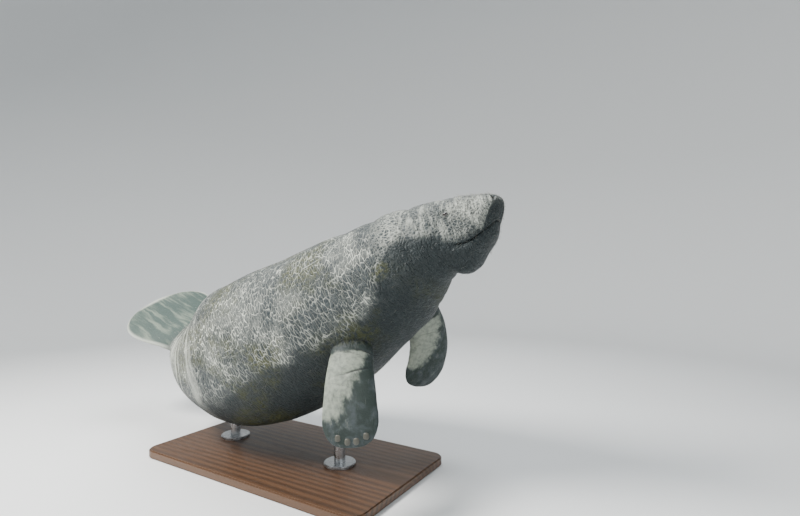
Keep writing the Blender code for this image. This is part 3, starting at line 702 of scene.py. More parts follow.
# The flippers: short paddles that hang from the shoulders, with soft creases across them near the root
# and a longer one at the elbow. Each is made on its own and then grown into the body's hide.
FLIPPER_SECTIONS = {
    "root": (0.00, 0.078, 0.082, 0.052),
    "elbow": (0.15, 0.080, 0.092, 0.045),
    "forearm": (0.35, 0.086, 0.099, 0.036),
    "wrist": (0.60, 0.096, 0.103, 0.026),
    "palm": (0.80, 0.104, 0.106, 0.019),
    "tip": (1.00, 0.102, 0.102, 0.012),
}
FLIPPER_TIP_START = 0.68
FLIPPER_TIP_POWER = 2.9
FLIPPER_EDGE = 0.25
FLIPPER_SIDES = 72
FLIPPER_RINGS = 56
FLIPPER_TIP_RINGS = 18
FLIPPER_LINE_STEPS = 200
FLIPPER_GRAIN = (0.0016, 0.045, 71)
FLIPPER_FINE_GRAIN = (0.0009, 0.018, 73)
CREASE_WANDER = (0.012, 0.05, 79)
# Creases this deep get the full painted shade.
FULL_SHADE_DEPTH = 0.0035
# The flippers lie wholly under the painted shade line, so their hairs take painted shade.
FLIPPER_SHADE = -0.35
FLIPPER_HAIRS = 0.5
FLIPPER_UNWRAP = {"left": 0.85, "right": 0.93}
FLIPPER_UNWRAP_LENGTH = 0.06
# Creases across a flipper: share of the length, depth, half width, slant, middle and reach round it.
FLIPPER_CREASES = [
    (0.135, 0.0035, 0.010, 0.03, 1.2, 1.3),
    (0.185, 0.0030, 0.008, 0.05, 1.7, 0.8),
    (0.225, 0.0022, 0.008, 0.02, 0.9, 0.7),
    (0.365, 0.0042, 0.009, -0.06, 1.3, 1.0),
    (0.500, 0.0016, 0.010, 0.05, 1.9, 0.8),
    (0.300, 0.0020, 0.010, 0.04, 4.6, 1.2),
]
# The painted light on a flipper is a pale field behind a slanting limit, with painted shade in front of it:
# at this share of the length the limit is at this share of the chord, and it moves back by this much for each
# length.
FLIPPER_LIT_LIMIT = (0.38, 0.33, -2.05)
PALE_SOFTNESS = 0.75


def direction(azimuth, elevation):
    azimuth = math.radians(azimuth)
    elevation = math.radians(elevation)
    level = math.cos(elevation)
    return np.array([level * math.cos(azimuth), level * math.sin(azimuth), math.sin(elevation)])


def flipper_frame(side, share):
    """Middle, lengthwise, chord and thickness directions of a flipper at shares of its length."""
    plan = FLIPPERS[side]
    fine = np.linspace(0, 1, FLIPPER_LINE_STEPS + 1)
    root_way = direction(*plan["root"])
    tip_way = direction(*plan["tip"])
    ways = unit(root_way * (1 - fine[:, None]) + tip_way * fine[:, None])
    steps = (ways[1:] + ways[:-1]) / 2 * plan["length"] * (fine[1] - fine[0])
    root = (np.array(plan["distance"]), np.array(math.radians(plan["angle"])))
    start = plain_skin(*root) - outward(*root) * FLIPPER_SINK
    line = start + np.concatenate([np.zeros((1, 3)), np.cumsum(steps, 0)])
    middle = np.stack([np.interp(share, fine, line[:, axis]) for axis in range(3)], -1)
    way = unit(np.stack([np.interp(share, fine, ways[:, axis]) for axis in range(3)], -1))
    chord = direction(*plan["chord"])
    chord = unit(chord - (way @ chord)[..., None] * way)
    return middle, way, chord, np.cross(way, chord)


def flipper_skin(side, share, angle):
    """Points of a flipper's plain surface. Angle 0 is its leading edge, and the tip is rounded off."""
    width = FLIPPERS[side]["width"]
    lead, trail, thick = (along(FLIPPER_SECTIONS, column, share) * width for column in (1, 2, 3))
    near_tip = np.clip((share - FLIPPER_TIP_START) / (1 - FLIPPER_TIP_START), 0, 1)
    narrow = np.maximum(1 - near_tip**FLIPPER_TIP_POWER, 0) ** (1 / FLIPPER_TIP_POWER)
    middle, _, chord, normal = flipper_frame(side, share)
    across = np.cos(angle) * np.where(np.cos(angle) > 0, lead, trail) * narrow
    through = np.sin(angle) * thick * np.clip(narrow, FLIPPER_EDGE, 1)
    return middle + across[..., None] * chord + through[..., None] * normal


def flipper_outward(side, share, angle):
    """Unit normals of a flipper's plain surface."""
    small = 0.002
    share = np.clip(share, small, 1 - 2 * small)
    lengthwise = flipper_skin(side, share + small, angle) - flipper_skin(side, share - small, angle)
    round_it = flipper_skin(side, share, angle + small) - flipper_skin(side, share, angle - small)
    return unit(np.cross(round_it, lengthwise))


def make_hide_flipper(side):
    """One flipper's hide as a closed mesh, with the same facts at each point as the body's."""
    outer = FLIPPERS[side]["outer"]
    plain = np.linspace(0, FLIPPER_TIP_START, FLIPPER_RINGS)
    turn = np.linspace(0, math.asin(ROUND_END), FLIPPER_TIP_RINGS)
    shares = np.concatenate([plain, FLIPPER_TIP_START + (1 - FLIPPER_TIP_START) * np.sin(turn[1:])])
    angles = np.linspace(0, 2 * math.pi, FLIPPER_SIDES, endpoint=False)
    share, angle = (grid.ravel() for grid in np.meshgrid(shares, angles, indexing="ij"))
    place = flipper_skin(side, share, angle)
    turned = (angle * outer) % (2 * math.pi)
    height = noise_from(place, FLIPPER_GRAIN) + noise_from(place, FLIPPER_FINE_GRAIN)
    dark = np.zeros(len(share))
    crease_wander = noise_from(place, CREASE_WANDER)
    for where, depth, reach, slant, middle, spread in FLIPPER_CREASES:
        line = where + slant * np.cos(turned) + crease_wander
        groove = bump(share, line, reach) * bump(turned, middle, spread)
        height = height - depth * groove
        # Painted shade in the creases, fullest in the deepest.
        dark = np.maximum(dark, groove * min(1, depth / FULL_SHADE_DEPTH))
    final = place + flipper_outward(side, share, angle) * height[:, None]
    root_distance = FLIPPERS[side]["distance"]
    origin, ahead, left, up = (table[0] for table in backbone_at(np.array([root_distance])))
    away = place - origin
    rest = np.stack([away @ ahead - root_distance, away @ left, away @ up], 1)
    none = np.zeros(len(share))
    # Painted light: the pale field behind the leading edge, with painted shade in front of it.
    place_on_limit, chord_at_limit, limit_slope = FLIPPER_LIT_LIMIT
    limit = chord_at_limit + limit_slope * (share - place_on_limit)
    pale = ease((limit - np.cos(angle)) / PALE_SOFTNESS + 0.5) * past(share, "flipper's pale field")
    unwrap_length = FLIPPER_UNWRAP[side] + FLIPPER_UNWRAP_LENGTH * share
    facts = dict.fromkeys(("painted_light", "algae", "head", "muzzle", "paddle", "rim", "bristly"), none)
    facts |= {
        "rest": rest,
        "crease": dark,
        "shade": none + FLIPPER_SHADE,
        "fin": past(share, "flipper"),
        "flipper": pale * (1 - past(share, "past the pale field")),
        "hairy": none + FLIPPER_HAIRS,
        "lie": flipper_frame(side, share)[1],
        "unwrap": np.stack([angle / (2 * math.pi), unwrap_length, none], 1),
    }
    shape = bmesh.new()
    verts = [shape.verts.new(spot) for spot in final]
    for i in range(len(shares) - 1):
        for j in range(FLIPPER_SIDES):
            k = (j + 1) % FLIPPER_SIDES
            first, second = i * FLIPPER_SIDES, (i + 1) * FLIPPER_SIDES
            shape.faces.new((verts[first + j], verts[first + k], verts[second + k], verts[second + j]))
    shape.faces.new(verts[:FLIPPER_SIDES])
    shape.faces.new(verts[-FLIPPER_SIDES:])
    bmesh.ops.triangulate(shape, faces=shape.faces)
    bmesh.ops.recalc_face_normals(shape, faces=shape.faces)
    return shape, facts


def as_object(name, shape):
    """A scene object with the bmesh as its mesh."""
    mesh = bpy.data.meshes.new(name)
    shape.to_mesh(mesh)
    shape.free()
    made = bpy.data.objects.new(name, mesh)
    bpy.context.scene.collection.objects.link(made)
    return made


def mesh_points(mesh):
    spots = np.zeros(len(mesh.vertices) * 3)
    mesh.vertices.foreach_get("co", spots)
    return spots.reshape(-1, 3)


# The body and the flippers are grown together into one hide, and the joins are smoothed into soft
# webs of skin, with painted shade along each join for the crease over the flipper's shoulder.
JOIN_REACH = 0.050
JOIN_ROUNDS = 14
JOIN_PULL = 0.5
JOIN_FOUND = 1e-5
JOIN_SHADE = 0.55
JOIN_SHADE_REACH = 0.012


def grow_together():
    shape, facts = make_hide_body()
    hide = as_object("hide", shape)
    points = [mesh_points(hide.data)]
    tables = [facts]
    for side in FLIPPERS:
        shape, facts = make_hide_flipper(side)
        flipper = as_object("flipper_" + side + "_form", shape)
        points.append(mesh_points(flipper.data))
        tables.append(facts)
        join = hide.modifiers.new("join_" + side, "BOOLEAN")
        join.operation = "UNION"
        join.solver = "MANIFOLD"
        join.object = flipper
    bpy.context.view_layer.update()
    graph = bpy.context.evaluated_depsgraph_get()
    joined = bpy.data.meshes.new_from_object(hide.evaluated_get(graph))
    hide.modifiers.clear()
    hide.data = joined
    for side in FLIPPERS:
        bpy.data.objects.remove(bpy.data.objects["flipper_" + side + "_form"])
    known = np.concatenate(points)
    tree = KDTree(len(known))
    for i, spot in enumerate(known):
        tree.insert(spot, i)
    tree.balance()
    spots = mesh_points(joined)
    found = [tree.find(spot) for spot in spots]
    nearest = np.array([hit[1] for hit in found])
    moved = np.array([hit[2] for hit in found])
    facts = {name: np.concatenate([table[name] for table in tables])[nearest] for name in tables[0]}
    return hide, spots, facts, moved


def smooth_joins(hide, spots, facts, moved):
    """Pulls each point near a join towards the middle of its neighbours."""
    seam = spots[moved > JOIN_FOUND]
    tree = KDTree(len(seam))
    for i, spot in enumerate(seam):
        tree.insert(spot, i)
    tree.balance()
    away = np.array([tree.find(spot)[2] for spot in spots])
    weight = ease(1 - away / JOIN_REACH)
    ends = np.zeros(len(hide.data.edges) * 2, dtype=np.int64)
    hide.data.edges.foreach_get("vertices", ends)
    ends = ends.reshape(-1, 2)
    ends = ends[(weight[ends[:, 0]] > 0) | (weight[ends[:, 1]] > 0)]
    count = np.bincount(ends.ravel(), minlength=len(spots)).clip(1)
    soft = {name: facts[name] for name in ("rest", "shade", "painted_light", "algae", "fin", "flipper", "crease")}
    for _ in range(JOIN_ROUNDS):
        for values in (spots, *soft.values()):
            wide = values.reshape(len(spots), -1)
            total = np.zeros_like(wide)
            np.add.at(total, ends[:, 0], wide[ends[:, 1]])
            np.add.at(total, ends[:, 1], wide[ends[:, 0]])
            wide += (total / count[:, None] - wide) * weight[:, None] * JOIN_PULL
    # Painted shade along each join, for the crease over the flipper's shoulder.
    join_crease_shade = JOIN_SHADE * ease(1 - away / JOIN_SHADE_REACH)
    facts["crease"] = np.maximum(facts["crease"], join_crease_shade)
    hide.data.vertices.foreach_set("co", spots.ravel())


hide, hide_spots, hide_facts, hide_moved = grow_together()
smooth_joins(hide, hide_spots, hide_facts, hide_moved)
for fact, values in hide_facts.items():
    kind = "FLOAT_VECTOR" if values.ndim == 2 else "FLOAT"
    layer = hide.data.attributes.new(fact, kind, "POINT")
    layer.data.foreach_set("vector" if values.ndim == 2 else "value", values.astype(np.float32).ravel())
hide.data.shade_smooth()

# The hide's finish: thick grey hide, dark underneath with painted shade and paler above with painted light,
# crossed above by a net of pale creases. Algae stains the shoulders and flanks olive, the rump has pale
# streaks round it, and the paddle's edge is pale.


def feed(tree, socket, value):
    """Links a socket or sets its value."""
    if isinstance(value, bpy.types.NodeSocket):
        tree.links.new(value, socket)
    else:
        socket.default_value = value


def calc(tree, operation, first, second=0.0):
    node = tree.nodes.new("ShaderNodeMath")
    node.operation = operation
    for socket, value in zip(node.inputs, (first, second)):
        feed(tree, socket, value)
    return node.outputs[0]


def between(tree, value, low, high, start=0.0, end=1.0):
    """The value taken smoothly from low..high to start..end."""
    node = tree.nodes.new("ShaderNodeMapRange")
    node.interpolation_type = "SMOOTHSTEP"
    for socket, given in zip(node.inputs, (value, low, high, start, end)):
        feed(tree, socket, given)
    return node.outputs[0]


def blend(tree, share, first, second):
    node = tree.nodes.new("ShaderNodeMix")
    node.data_type = "RGBA"
    feed(tree, node.inputs["Factor"], share)
    for socket, colour in zip((node.inputs[6], node.inputs[7]), (first, second)):
        feed(tree, socket, (*colour, 1.0) if isinstance(colour, tuple) else colour)
    return node.outputs[2]


def fact(tree, name):
    """A value stored on the mesh's points."""
    node = tree.nodes.new("ShaderNodeAttribute")
    node.attribute_name = name
    return node


def stretch(tree, vector, scale, turn=(0, 0, 0)):
    node = tree.nodes.new("ShaderNodeMapping")
    feed(tree, node.inputs["Vector"], vector)
    node.inputs["Scale"].default_value = scale
    node.inputs["Rotation"].default_value = tuple(math.radians(angle) for angle in turn)
    return node.outputs[0]


def cloud(tree, vector, scale, detail=2.0, roughness=0.5):
    """A soft random pattern around 0.5."""
    node = tree.nodes.new("ShaderNodeTexNoise")
    for name, value in zip(("Vector", "Scale", "Detail", "Roughness"), (vector, scale, detail, roughness)):
        feed(tree, node.inputs[name], value)
    return node.outputs["Fac"]


def cells(tree, vector, scale, feature="DISTANCE_TO_EDGE"):
    """Distance to the edges, or to the middles, of random cells."""
    node = tree.nodes.new("ShaderNodeTexVoronoi")
    node.feature = feature
    feed(tree, node.inputs["Vector"], vector)
    node.inputs["Scale"].default_value = scale
    return node.outputs["Distance"]


def vector_calc(tree, operation, first, second):
    """One step of arithmetic on a vector, where scaling takes a single value."""
    node = tree.nodes.new("ShaderNodeVectorMath")
    node.operation = operation
    feed(tree, node.inputs[0], first)
    feed(tree, node.inputs["Scale" if operation == "SCALE" else 1], second)
    return node.outputs[0]


def wander(tree, vector, scale, reach):
    """The vector moved about at random, so that patterns on it bend."""
    noise = tree.nodes.new("ShaderNodeTexNoise")
    feed(tree, noise.inputs["Vector"], vector)
    noise.inputs["Scale"].default_value = scale
    noise.inputs["Detail"].default_value = 2
    centred = vector_calc(tree, "SUBTRACT", noise.outputs["Color"], (0.5, 0.5, 0.5))
    return vector_calc(tree, "ADD", vector, vector_calc(tree, "SCALE", centred, reach))


def raise_by(tree, height, distance, under=None):
    """A bump of this height in metres, laid over another one."""
    node = tree.nodes.new("ShaderNodeBump")
    node.inputs["Distance"].default_value = distance
    feed(tree, node.inputs["Height"], height)
    if under is not None:
        feed(tree, node.inputs["Normal"], under)
    return node.outputs[0]


def new_finish(name, roughness, metallic=0.0):
    """A new material, its tree and its shader."""
    made = bpy.data.materials.new(name)
    made.use_nodes = True
    shader = made.node_tree.nodes["Principled BSDF"]
    shader.inputs["Roughness"].default_value = roughness
    shader.inputs["Metallic"].default_value = metallic
    return made, made.node_tree, shader


HIDE_DARK = (0.017, 0.024, 0.028)
HIDE_GREY = (0.046, 0.057, 0.060)
# Painted shade: the hide's colour under the shade line.
HIDE_UNDER_SHADE = (0.014, 0.021, 0.023)
HIDE_PALE = (0.66, 0.68, 0.60)
HIDE_ALGAE = (0.052, 0.056, 0.014)
# Painted shade for the creases, slits and openings.
HIDE_CREASE_SHADE = (0.009, 0.011, 0.012)
# Painted shade and painted light on the flippers.
FLIPPER_SHADED = (0.020, 0.030, 0.026)
FLIPPER_LIT = (0.25, 0.275, 0.225)
PADDLE_GREEN = (0.060, 0.086, 0.076)
PADDLE_PALE = (0.17, 0.205, 0.165)
# How strongly each marking, each painted light and each painted shade covers the hide under it.
COVER = {
    "wear_and_painted_light": 0.11, "down the head": 0.30, "algae": 0.8, "scratches": 0.55, "round the rump": 0.66,
    "rim": 0.6, "paddle": 0.92, "pale field": 0.55, "pits": 0.65, "creases": 0.88,
}
# How fine each pattern is: about how many cells or clouds it has in a metre, before any stretch.
FINENESS = {
    "long cells": 36.0, "small cells": 70.0, "net's width": 11.0, "bends": 9.0, "fine bends": 40.0,
    "patches": 3.4, "mottle": 60.0, "thin algae": 2.6, "scratches": 1.6, "scratched spots": 6.0,
    "broken": 22.0, "pits": 165.0, "grain": 420.0, "crackle": 190.0,
}
# How far each pattern stands out of the hide, in metres.
RAISED = {
    "grain": 0.0008, "long cells": 0.0026, "small cells": 0.0012, "slanting": 0.0022, "pits": 0.0014,
    "paddle's streaks": 0.0016,
}


def axis_of(tree, vector, axis):
    """One axis of a vector."""
    node = tree.nodes.new("ShaderNodeSeparateXYZ")
    feed(tree, node.inputs[0], vector)
    return node.outputs[axis]


def times(tree, *shares):
    """Several shares multiplied."""
    total = shares[0]
    for share in shares[1:]:
        total = calc(tree, "MULTIPLY", total, share)
    return total


def less(tree, share):
    """What a share leaves of one."""
    return calc(tree, "SUBTRACT", 1.0, share)


def net_of_creases(tree, rest, bent, head, smooth):
    """The pale net, long on the flanks and small on the head, and the two patterns of cells in it."""
    long_cells = cells(tree, stretch(tree, bent, (2.1, 0.72, 0.75)), FINENESS["long cells"])
    small_cells = cells(tree, stretch(tree, bent, (0.8, 1.2, 1.2)), FINENESS["small cells"])
    width = between(tree, cloud(tree, rest, FINENESS["net's width"]), 0.35, 0.68, 0.03, 0.12)
    long_net = less(tree, between(tree, long_cells, 0.0, width))
    small_net = less(tree, between(tree, small_cells, 0.02, 0.20))
    long_net = times(tree, long_net, between(tree, head, 0.0, 1.0, 1.0, 0.3))
    nape = between(tree, head, 0.0, 0.6, 0.10, 1.0)
    nape = calc(tree, "SUBTRACT", nape, between(tree, head, 0.7, 1.0, 0.0, 0.62))
    small_net = times(tree, small_net, nape)
    net = times(tree, calc(tree, "MAXIMUM", long_net, small_net), less(tree, smooth))
    return net, long_cells, small_cells


def make_hide_finish():
    made, tree, shader = new_finish("manatee hide", 0.55)
    rest = fact(tree, "rest").outputs["Vector"]
    names = ("shade", "painted_light", "algae", "crease", "head", "muzzle", "paddle", "rim", "fin", "flipper")
    facts = {name: fact(tree, name).outputs["Fac"] for name in names}
    paddle = facts["paddle"]
    bent = wander(tree, rest, FINENESS["bends"], 0.030)
    bent = wander(tree, bent, FINENESS["fine bends"], 0.006)
    patches = cloud(tree, rest, FINENESS["patches"], 3.0, 0.55)
    mottle = cloud(tree, bent, FINENESS["mottle"], 3.0, 0.65)
    smooth = calc(tree, "MAXIMUM", facts["fin"], paddle)
    net, long_cells, small_cells = net_of_creases(tree, rest, bent, facts["head"], smooth)

    # Painted light and shade: under the ragged shade line the hide is dark with painted shade, above it grey,
    # with soft pale patches of painted light, palest at the spots of painted light.
    ragged = calc(tree, "MULTIPLY", calc(tree, "SUBTRACT", patches, 0.5), 1.5)
    above = between(tree, calc(tree, "ADD", facts["shade"], ragged), -0.20, 0.34)
    wear_and_painted_light = times(tree, above, between(tree, patches, 0.50, 0.66))
    wear_and_painted_light = calc(tree, "MAXIMUM", wear_and_painted_light, facts["painted_light"])
    grey = blend(tree, between(tree, mottle, 0.3, 0.7), HIDE_DARK, HIDE_GREY)
    colour = blend(tree, above, HIDE_UNDER_SHADE, grey)
    colour = blend(tree, times(tree, wear_and_painted_light, COVER["wear_and_painted_light"]), colour, HIDE_PALE)

    # Fine pale streaks that run down the head from its top, shown only above the shade line, as painted
    # light.
    down_head = cloud(tree, stretch(tree, bent, (75.0, 12.0, 14.0)), 1.0, 3.0, 0.6)
    down_head = times(tree, between(tree, down_head, 0.46, 0.62), above)
    down_head = times(tree, down_head, between(tree, facts["head"], 0.4, 1.0))
    colour = blend(tree, times(tree, down_head, COVER["down the head"]), colour, HIDE_PALE)

    # Algae in fine mottles: in the marked patches, and thinly over the back and flanks.
    thin = cloud(tree, rest, FINENESS["thin algae"], 3.0, 0.6)
    thin = times(tree, between(tree, thin, 0.48, 0.62), 0.9)
    green = times(tree, calc(tree, "MAXIMUM", facts["algae"], thin), between(tree, mottle, 0.40, 0.56))
    green = times(tree, green, less(tree, calc(tree, "MAXIMUM", smooth, facts["head"])))
    colour = blend(tree, times(tree, green, COVER["algae"]), colour, HIDE_ALGAE)

    # The net itself, with a few long scratches over the shoulders. Both are the hide's own patterns, but
    # painted light shows them pale only above the shade line and most in the lit patches, and painted shade
    # leaves them faint or gone under it.
    strength = calc(tree, "ADD", between(tree, above, 0.0, 1.0, 0.02, 0.42), times(tree, wear_and_painted_light, 0.52))
    colour = blend(tree, times(tree, net, strength), colour, HIDE_PALE)
    scratch = cloud(tree, stretch(tree, rest, (3.0, 8.0, 30.0), (0, 35, 0)), FINENESS["scratches"], 1.0)
    scratch = calc(tree, "ABSOLUTE", calc(tree, "SUBTRACT", scratch, 0.5))
    scratch = less(tree, between(tree, scratch, 0.0, 0.010))
    scratched = between(tree, cloud(tree, rest, FINENESS["scratched spots"], 1.0), 0.56, 0.66)
    scratch = times(tree, scratch, above, scratched, COVER["scratches"], less(tree, smooth))
    colour = blend(tree, scratch, colour, HIDE_PALE)

    # Pale streaks round the rump, paler above the shade line, as painted light.
    behind = calc(tree, "MULTIPLY", axis_of(tree, rest, 0), -1.0)
    rump = times(tree, between(tree, behind, 1.42, 1.75), less(tree, paddle))
    round_streaks = cloud(tree, stretch(tree, bent, (24.0, 2.2, 2.2)), 1.0, 3.0, 0.6)
    streaks = times(tree, between(tree, round_streaks, 0.50, 0.64), rump)
    streaks = times(tree, streaks, between(tree, above, 0.0, 1.0, 0.2, 1.0))
    colour = blend(tree, times(tree, streaks, COVER["round the rump"]), colour, HIDE_PALE)

    # The paddle, smooth and streaked lengthwise, with a pale rim.
    long_streaks = cloud(tree, stretch(tree, bent, (3.0, 30.0, 6.0)), 1.0, 3.0, 0.6)
    long_streaks = between(tree, long_streaks, 0.44, 0.66)
    paddle_colour = blend(tree, long_streaks, PADDLE_GREEN, PADDLE_PALE)
    paddle_colour = blend(tree, times(tree, facts["rim"], COVER["rim"]), paddle_colour, HIDE_PALE)
    colour = blend(tree, times(tree, paddle, COVER["paddle"]), colour, paddle_colour)

    # The flippers: dark green-grey painted shade on the leading side, and a pale field of painted light
    # behind the leading edge.
    broken = cloud(tree, bent, FINENESS["broken"], 4.0, 0.6)
    slanting = cloud(tree, stretch(tree, bent, (60.0, 60.0, 12.0), (0, 40, 0)), 1.0, 3.0, 0.6)
    ragged = times(tree, calc(tree, "SUBTRACT", calc(tree, "ADD", broken, slanting), 1.0), 1.5)
    field = between(tree, calc(tree, "ADD", facts["flipper"], ragged), 0.15, 0.95)
    fin_lit = blend(tree, between(tree, mottle, 0.35, 0.7), FLIPPER_LIT, HIDE_GREY)
    fin_lit = blend(tree, COVER["pale field"], fin_lit, FLIPPER_LIT)
    fin_shaded = blend(tree, between(tree, broken, 0.40, 0.66), FLIPPER_SHADED, HIDE_GREY)
    colour = blend(tree, facts["fin"], colour, blend(tree, field, fin_shaded, fin_lit))

    # Painted shade in the sunk pits of the muzzle's bristles, then painted shade in the creases, slits and
    # openings.
    pits = cells(tree, rest, FINENESS["pits"], "F1")
    pit = times(tree, less(tree, between(tree, pits, 0.16, 0.40)), facts["muzzle"])
    colour = blend(tree, times(tree, pit, COVER["pits"]), colour, HIDE_DARK)
    creased = between(tree, facts["crease"], 0.15, 0.95, 0.0, COVER["creases"])
    colour = blend(tree, creased, colour, HIDE_CREASE_SHADE)
    tree.links.new(colour, shader.inputs["Base Color"])
    tree.links.new(between(tree, mottle, 0.3, 0.7, 0.44, 0.64), shader.inputs["Roughness"])
    shader.inputs["Specular IOR Level"].default_value = 0.30

    fine_grain = times(tree, cloud(tree, rest, FINENESS["grain"], 4.0, 0.6), 0.5)
    crackle = times(tree, between(tree, cells(tree, bent, FINENESS["crackle"]), 0.0, 0.22), 0.5)
    normal = raise_by(tree, calc(tree, "ADD", fine_grain, crackle), RAISED["grain"])
    folds = calc(tree, "MAXIMUM", between(tree, long_cells, 0.0, 0.22), smooth)
    normal = raise_by(tree, folds, RAISED["long cells"], normal)
    small = calc(tree, "MAXIMUM", between(tree, small_cells, 0.0, 0.25), smooth)
    normal = raise_by(tree, small, RAISED["small cells"], normal)
    normal = raise_by(tree, times(tree, slanting, facts["fin"]), RAISED["slanting"], normal)
    normal = raise_by(tree, times(tree, pit, -1.0), RAISED["pits"], normal)
    normal = raise_by(tree, times(tree, long_streaks, paddle), RAISED["paddle's streaks"], normal)
    tree.links.new(normal, shader.inputs["Normal"])
    return made


hide.data.materials.clear()
hide.data.materials.append(make_hide_finish())
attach(hide, "root")
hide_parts("head", "neck", "chest", "abdomen", "tail_stock", "tail_paddle", "flipper_left", "flipper_right")

# The bristles and hairs: short stiff bristles all over the muzzle's pads and the lower lip, and single
# fine hairs a few centimetres apart over the rest. Each is a tapered, bent cone rooted in the hide that
# leans back along the body, darker where it leaves the skin.
TUFT_PATCH = 0.003
ROOT_SUNK = 0.06
TIP_SHARE = 0.2
MUZZLE_BRISTLES = {
    "Closest": 0.0075, "Most per square metre": 40000.0, "Shortest": 0.006, "Longest": 0.014,
    "Thickness": 0.038, "Stand": 1.0, "Lean": 0.45, "Stray": 0.25, "Bend": 0.30, "Seed": 11,
}
BODY_HAIRS = {
    "Closest": 0.030, "Most per square metre": 3000.0, "Shortest": 0.016, "Longest": 0.030,
    "Thickness": 0.010, "Stand": 0.45, "Lean": 1.0, "Stray": 0.20, "Bend": 0.25, "Seed": 23,
}
BRISTLE_DARK = (0.16, 0.15, 0.12)
BRISTLE_PALE = (0.55, 0.52, 0.43)


def make_bristle_finish(name, roughness):
    """Pale horn, darker at the root, and darker with painted shade where the hide lies under its shade line.
    """
    made, tree, shader = new_finish(name, roughness)
    tone = cloud(tree, fact(tree, "rest").outputs["Vector"], 30.0, 2.0)
    colour = blend(tree, between(tree, tone, 0.35, 0.65), BRISTLE_DARK, BRISTLE_PALE)
    # Painted shade: hairs under the hide's shade line are darker.
    under = between(tree, fact(tree, "shade").outputs["Fac"], -0.4, 0.4, 0.5, 0.0)
    colour = blend(tree, under, colour, HIDE_DARK)
    up_hair = axis_of(tree, fact(tree, "patch").outputs["Vector"], 1)
    colour = blend(tree, between(tree, up_hair, 0.05, 0.45, 0.7, 0.0), colour, HIDE_DARK)
    tree.links.new(colour, shader.inputs["Base Color"])
    return made


def bristle_nodes(name, where, plan, sides, lengths, finish):
    """Nodes that set bent cones on the hide, as many as a stored share asks, and their inputs."""
    tree = bpy.data.node_groups.new(name, "GeometryNodeTree")
    tree.interface.new_socket("Hide", in_out="INPUT", socket_type="NodeSocketGeometry")
    tree.interface.new_socket("Bristles", in_out="OUTPUT", socket_type="NodeSocketGeometry")
    sockets = {}
    for label, value in plan.items():
        kind = "NodeSocketInt" if isinstance(value, int) else "NodeSocketFloat"
        sockets[label] = tree.interface.new_socket(label, in_out="INPUT", socket_type=kind).identifier
    given = tree.nodes.new("NodeGroupInput").outputs

    def node(kind, settings, inputs):
        made = tree.nodes.new(kind)
        for setting, value in settings.items():
            setattr(made, setting, value)
        for socket, value in inputs.items():
            feed(tree, made.inputs[socket], value)
        return made

    def stored(label, kind):
        made = node("GeometryNodeInputNamedAttribute", {"data_type": kind}, {"Name": label})
        return next(socket for socket in made.outputs if socket.enabled)

    def scaled(vector, share):
        return vector_calc(tree, "SCALE", vector, share)

    def added(first, second):
        return vector_calc(tree, "ADD", first, second)

    roots = node("GeometryNodeDistributePointsOnFaces", {"distribute_method": "POISSON"}, {
        "Mesh": given["Hide"], "Distance Min": given["Closest"],
        "Density Max": given["Most per square metre"], "Density Factor": stored(where, "FLOAT"),
        "Seed": given["Seed"],
    })
    tip = calc(tree, "MULTIPLY", given["Thickness"], TIP_SHARE)
    cone = node("GeometryNodeMeshCone", {"fill_type": "NGON"}, {
        "Vertices": sides, "Side Segments": lengths, "Radius Top": tip,
        "Radius Bottom": given["Thickness"], "Depth": 1.0,
    })
    spot = tree.nodes.new("GeometryNodeInputPosition").outputs[0]
    across = calc(tree, "DIVIDE", axis_of(tree, spot, 0), calc(tree, "MULTIPLY", given["Thickness"], 2.0))
    height = axis_of(tree, spot, 2)
    patch = node("ShaderNodeCombineXYZ", {}, {0: calc(tree, "ADD", across, 0.5), 1: height})
    marked = node("GeometryNodeStoreNamedAttribute", {"data_type": "FLOAT_VECTOR", "domain": "POINT"}, {
        "Geometry": cone.outputs["Mesh"], "Name": "patch", "Value": patch.outputs[0],
    })
    sideways = calc(tree, "MULTIPLY", calc(tree, "MULTIPLY", height, height), given["Bend"])
    offset = node("ShaderNodeCombineXYZ", {}, {0: sideways, 2: -ROOT_SUNK})
    bristle = node("GeometryNodeSetPosition", {}, {
        "Geometry": marked.outputs["Geometry"], "Offset": offset.outputs[0],
    })
    lie = stored("lie", "FLOAT_VECTOR")
    random_way = node("FunctionNodeRandomValue", {"data_type": "FLOAT_VECTOR"}, {
        0: (-1.0, -1.0, -1.0), 1: (1.0, 1.0, 1.0), "Seed": given["Seed"],
    })
    stand = scaled(roots.outputs["Normal"], given["Stand"])
    way = added(added(stand, scaled(lie, given["Lean"])), scaled(random_way.outputs[0], given["Stray"]))
    upright = node("FunctionNodeAlignRotationToVector", {"axis": "Z"}, {"Vector": way})
    turned = node("FunctionNodeAlignRotationToVector", {"axis": "X", "pivot_axis": "Z"}, {
        "Rotation": upright.outputs["Rotation"], "Vector": lie,
    })
    length = node("FunctionNodeRandomValue", {"data_type": "FLOAT"}, {
        2: given["Shortest"], 3: given["Longest"], "Seed": given["Seed"],
    })
    placed = node("GeometryNodeInstanceOnPoints", {}, {
        "Points": roots.outputs["Points"], "Instance": bristle.outputs["Geometry"],
        "Rotation": turned.outputs["Rotation"], "Scale": length.outputs[1],
    })
    real = node("GeometryNodeRealizeInstances", {}, {"Geometry": placed.outputs["Instances"]})
    dressed = node("GeometryNodeSetMaterial", {}, {"Geometry": real.outputs["Geometry"]})
    dressed.inputs["Material"].default_value = finish
    tree.links.new(dressed.outputs["Geometry"], tree.nodes.new("NodeGroupOutput").inputs[0])
    return tree, sockets


